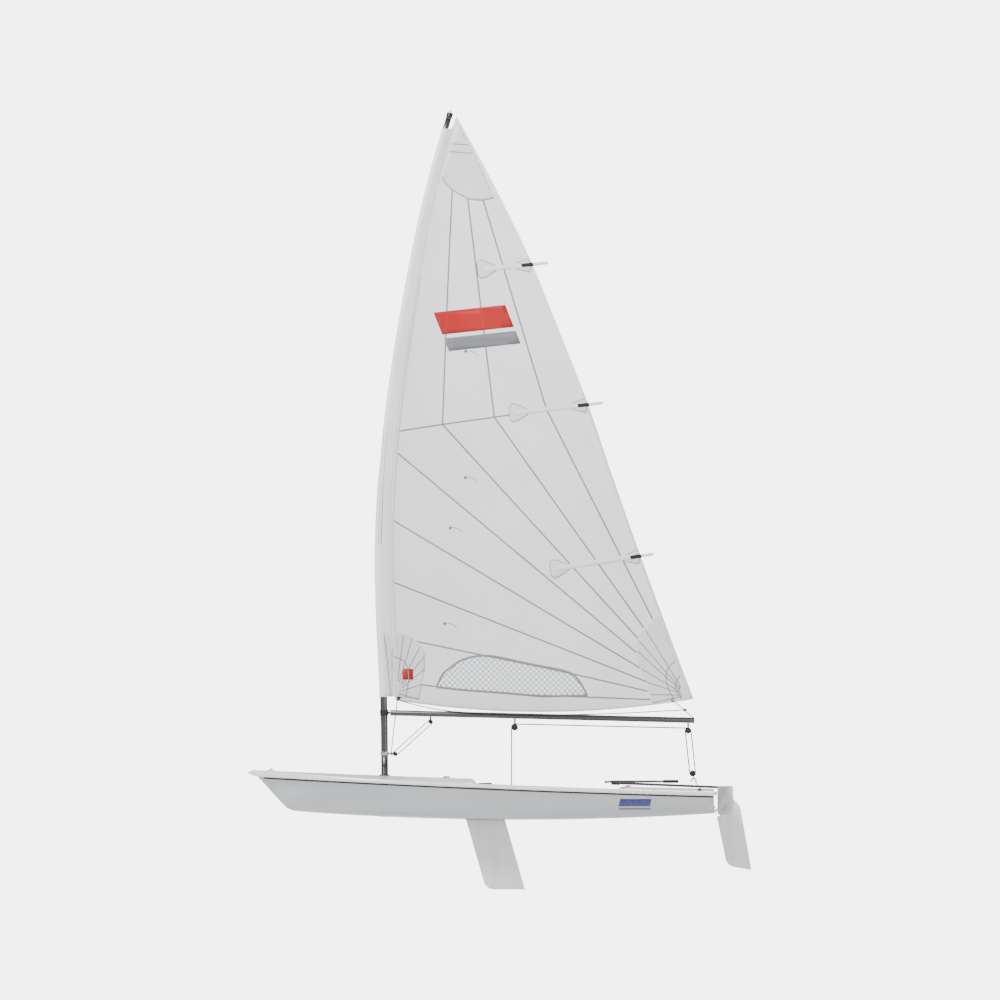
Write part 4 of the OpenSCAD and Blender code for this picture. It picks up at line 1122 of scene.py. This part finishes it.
# ---------------------------------------------------------------- hull, foils, spars, fittings
PLAIN_PARTS = [
    # node, finish, softened edge in metres
    ("hull", "hull", 0.0), ("deck", "deck", 0.003), ("cockpit_tub", "deck", 0.002),
    ("mast_step", "liner", 0.001), ("daggerboard_case", "liner", 0.001),
    ("bow_eye", "nylon", 0.001), ("control_cleats", "nylon", 0.001),
    ("ratchet_block", "nylon", 0.0006), ("traveller_fairleads", "nylon", 0.001),
    ("traveller_block", "nylon", 0.0006), ("traveller_cleat", "nylon", 0.001),
    ("hiking_strap", "webbing", 0.0004), ("grab_rails", "nylon", 0.0015),
    ("drain_plug", "nylon", 0.0006), ("self_bailer", "steel", 0.0006),
    ("gudgeons", "steel", 0.0005), ("pintles", "steel", 0.0005),
    ("rudder_head", "cast", 0.0012), ("tiller", "carbon", 0.0008),
    ("pivot_bolt", "steel", 0.0006), ("rudder_blade", "foil", 0.0008),
    ("universal_joint", "nylon", 0.0008), ("tiller_extension", "spar", 0.0004),
    ("extension_grip", "foam", 0.002), ("daggerboard", "foil", 0.0008),
    ("daggerboard_handle", "nylon", 0.0015), ("lower_mast", "spar", 0.0),
    ("upper_mast", "spar", 0.0), ("mast_collar", "nylon", 0.0008),
    ("mast_cap", "nylon", 0.0008), ("gooseneck", "nylon", 0.0008),
    ("vang_tang", "steel", 0.0005), ("boom", "boom", 0.0006),
    ("boom_end_cap", "nylon", 0.001), ("boom_block_aft", "nylon", 0.0006),
    ("boom_block_mid", "nylon", 0.0006), ("vang_blocks", "nylon", 0.0005),
    ("clew_fitting", "steel", 0.0004),
]
SCREWED = ["bow_eye", "control_cleats", "traveller_fairleads", "traveller_cleat",
           "ratchet_block", "mast_step", "self_bailer"]
HULL_MARK = [(-1.535, 0.052), (-1.25, 0.052), (-1.263, 0.118), (-1.548, 0.118)]
HULL_LINE = [(-1.535, 0.022), (-1.25, 0.022), (-1.254, 0.036), (-1.539, 0.036)]
MARK_RISE = 0.0012
BEAD_R = 0.0065
DECK_GRIP = [[(x, side * y) for x, y in outline] for side in (1, -1) for outline in (
    [(-1.21, 0.30), (-0.02, 0.30), (-0.02, 0.56), (-0.4, 0.60), (-1.21, 0.56)],
    [(0.14, 0.12), (0.66, 0.12), (0.72, 0.2), (0.66, 0.42), (0.14, 0.50)],
    [(-1.98, 0.06), (-1.31, 0.06), (-1.31, 0.50), (-1.9, 0.40), (-1.98, 0.38)],
)]
SOLE_GRIP = [[(x, side * y) for x, y in ((-1.15, 0.045), (-0.42, 0.045), (-0.42, 0.17),
                                         (-1.15, 0.17))] for side in (1, -1)]
GRIP_RISE = 0.0008


def skins():
    """Every plain part gets a smooth skin; returns them by node."""
    return {node: polish(node, finish, edge) for node, finish, edge in PLAIN_PARTS}


def mark_hull(hull):
    """A plain stripe and underline on each quarter."""
    tree = tree_of(hull.data)
    for name, outline, finish in (("hull_stripe", HULL_MARK, "blue"),
                                  ("hull_underline", HULL_LINE, "grey_vinyl")):
        patches(name, [outline], finish, MARK_RISE, body="hull", tree=tree, cell=0.02)


def bead_gunwale(hull):
    """Dark bead under the gunwale along the joint of hull and deck: partly the real joint, partly a
    painted shadow line under the gunwale's lip.
    """
    hull_low, hull_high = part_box("hull")
    tree = tree_of(hull.data)
    stations = [lerp(hull_low.x + 0.004, hull_high.x - 0.06, k / 120) for k in range(121)]
    port = [p for p in (on_cloth(x, sheer_z(x) - BEAD_R * 1.4, 1, BEAD_R * 0.35, tree)
                        for x in stations) if p]
    nose = [Vector((port[-1].x + 0.004, 0, port[-1].z))]
    starboard = [Vector((p.x, -p.y, p.z)) for p in port[::-1]]
    # the dark bead is partly painted shade, the shadow line under the gunwale's lip, over the real
    # joint
    place("gunwale_bead_and_shadow", sweep("gunwale_bead_and_shadow", port + nose + starboard, BEAD_R, 8),
          "joint_and_painted_shadow", "hull")


def sheer_z(x):
    """Height of the joint of hull and deck at a station."""
    s = x / cad_box[1].x
    return 0.219 + 0.09 * s + 0.018 * s * s


def lay_grip(deck, tub):
    """Panels of moulded non-slip on the side decks, the aft deck and the sole."""
    for name, skin, outlines in (
            ("deck_grip", deck, DECK_GRIP), ("sole_grip", tub, SOLE_GRIP)):
        tree = tree_of(skin.data)

        def fall(x, y, lift, tree=tree):
            spot, normal, _, _ = tree.ray_cast(Vector((x, y, 1.0)), -UP)
            return spot + normal * lift if spot else None

        made = [patch_mesh(name, o, fall, (UP, GRIP_RISE), cell=0.04) for o in outlines]
        place(name, join_meshes(name, made), "grip", "hull")


# ---------------------------------------------------------------- ropes
SHEET_R, LINE_R, TRAVELLER_R = 0.0055, 0.0045, 0.0035
SHEAVE = 0.85                    # the groove's radius, as a share of the block's
AFT_BLOCK_R, MID_BLOCK_R, VANG_BLOCK_R = 0.024, 0.029, 0.017
BOOM_MID, BOOM_AFT = Vector((-0.309, 0, 0.768)), Vector((-1.88, 0, 0.735))
SHEET_BLOCK, RATCHET = Vector((-1.921, 0, 0.354)), Vector((-0.307, 0, 0.091))
BOOM_END_LEAD = Vector((-1.88, 0, 0.7609))
FALL_LOW, FALL_HIGH = 0.095, 0.762
VANG_LOW, VANG_HIGH = (0.775, 0, 0.53), (0.457, 0, 0.817)
DOWNHAUL = [(0.752, 0.004, 1.052), (0.775, 0.006, 0.87), (0.80, 0.008, 0.66),
            (0.812, 0.006, 0.51)]
FOOT_LINE = [(0.74, 0.010, 1.03), (0.724, 0.012, 1.007), (0.461, 0.026, 0.943),
             (0.189, 0.031, 0.907), (-0.356, 0.0325, 0.884), (-1.081, 0.0325, 0.889),
             (-1.70, 0.022, 0.918), (-1.852, 0.012, 0.925)]
TACK_KNOT = (0.74, 0.012, 1.034)
TIE_FROM_RING = [(0.004, 0.006, -0.004), (-0.05, 0.007, -0.04)]
TIE_FROM_CAP = [(0.03, 0.004, 0.045), (0.01, 0.002, 0.026)]
TRAVELLER_EYE, TRAVELLER_IN, TRAVELLER_TOP = (-1.985, 0.4505), (-1.985, 0.418), (-1.931, 0.010)


def round_sheaves(low, high, r):
    """Closed rope round two sheaves on athwartships axles, its middle r from each, as a path."""
    low, high = Vector(low), Vector(high)
    along = (high - low).normalized()
    side = Vector((along.z, 0, -along.x))
    path = []
    for centre, start in ((high, 0), (low, math.pi)):
        for k in range(13):
            a = start + math.pi * k / 12
            path.append(centre + r * (side * math.cos(a) + along * math.sin(a)))
    return path + [path[0]]


def knot(spot, size=0.0062):
    """Overhand knot pulled tight, as a closed path round its place."""
    path = []
    for k in range(49):
        a = math.tau * k / 48
        path.append(Vector(spot) + size * Vector((
            (math.sin(a) + 1.6 * math.sin(2 * a)) * 0.8,
            -math.sin(3 * a) * 0.9, (math.cos(a) - 1.6 * math.cos(2 * a)) * 0.8)))
    return path


def rope(name, path, radius, body="rig"):
    """A rope along a path, on its body if it has one yet."""
    return place(name, sweep(name, path, radius), "rope", body)


def falls(name, path):
    """Part of the sheet that runs from the hull to the rig, made in place on no body."""
    made = rope(name, path, SHEET_R, None)
    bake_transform(made)


def centre_of(node):
    low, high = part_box(node)
    return (low + high) / 2


def reeve_sheet():
    """Mainsheet: two falls at the boom's end, a lead along the boom, one fall to the ratchet."""
    around, dense = round_sheaves(SHEET_BLOCK, BOOM_AFT, AFT_BLOCK_R * SHEAVE + SHEET_R), []
    for a, b in zip(around, around[1:]):
        steps = max(1, int((b - a).length / 0.012))
        dense += [a.lerp(b, k / steps) for k in range(steps)]
    falls("sheet_aft_falls", dense + dense[:2])

    turn_r = MID_BLOCK_R * SHEAVE + SHEET_R
    fall_x = BOOM_MID.x + turn_r
    fall = [Vector((fall_x, 0, lerp(FALL_LOW, FALL_HIGH, i / 60))) for i in range(61)]
    turn = [RATCHET + Vector((math.cos(a), 0, -math.sin(a))) * turn_r
            for a in (math.pi * k / 14 for k in range(1, 13))]
    over = [BOOM_MID + Vector((math.cos(a), 0, math.sin(a))) * turn_r
            for a in (math.pi / 2 * k / 8 for k in range(1, 9))]
    under_boom = [over[-1].lerp(BOOM_END_LEAD, i / 40) for i in range(1, 41)]
    falls("sheet_fall", turn[::-1] + fall + over[:2])
    rope("sheet_along_boom", over[1:] + under_boom, SHEET_R)
    rope("knot_sheet", knot(turn[-1] + Vector((-0.004, 0, 0.012))), LINE_R, "hull")


def reeve_lines():
    """Vang, downhaul, clew tie and foot line, all on the rig."""
    vang = round_sheaves(VANG_LOW, VANG_HIGH, VANG_BLOCK_R * SHEAVE + LINE_R)
    rope("vang_line", vang, LINE_R)
    rope("downhaul", through(DOWNHAUL, 40), LINE_R)
    tie = ([centre_of("clew_fitting") + Vector(p) for p in TIE_FROM_RING]
           + [centre_of("boom_end_cap") + Vector(p) for p in TIE_FROM_CAP])
    rope("clew_tie", through(tie, 30), LINE_R)
    foot = through(FOOT_LINE, 90)
    rope("foot_line", foot, LINE_R)
    rope("knot_tack", knot(TACK_KNOT), LINE_R)
    rope("knot_clew", knot(foot[-1]), LINE_R)


def reeve_traveller():
    """Traveller line, from fairlead to fairlead through the traveller block."""
    low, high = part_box("traveller_line")
    eye_z, top_z = low.z + 0.0042, high.z - 0.0042
    path = [(*TRAVELLER_EYE, eye_z), (*TRAVELLER_IN, eye_z)]
    path += [(lerp(TRAVELLER_IN[0], TRAVELLER_TOP[0], k / 12),
              lerp(TRAVELLER_IN[1], TRAVELLER_TOP[1], k / 12), lerp(eye_z, top_z, k / 12))
             for k in range(1, 13)]
    path += [(x, -y, z) for x, y, z in path[::-1]]
    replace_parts(rope("traveller_rope", path, TRAVELLER_R, "hull"), "traveller_line")


# ---------------------------------------------------------------- put together
floor_z = cad_box[0].z - FLOOR_GAP
floor = place("floor", from_faces("floor", [
    (x * FLOOR_SIZE, y * FLOOR_SIZE, floor_z) for x, y in ((-1, -1), (1, -1), (1, 1), (-1, 1))],
    [[0, 1, 2, 3]]), "floor", None)
place_camera()
light_scene()
skin = skins()
film = make_sail()
sleeve = make_sleeve()
dress_sail(film, sleeve)
sew()
mark_hull(skin["hull"])
bead_gunwale(skin["hull"])
lay_grip(skin["deck"], skin["cockpit_tub"])
screw_down(skin)
reeve_sheet()
reeve_lines()
reeve_traveller()
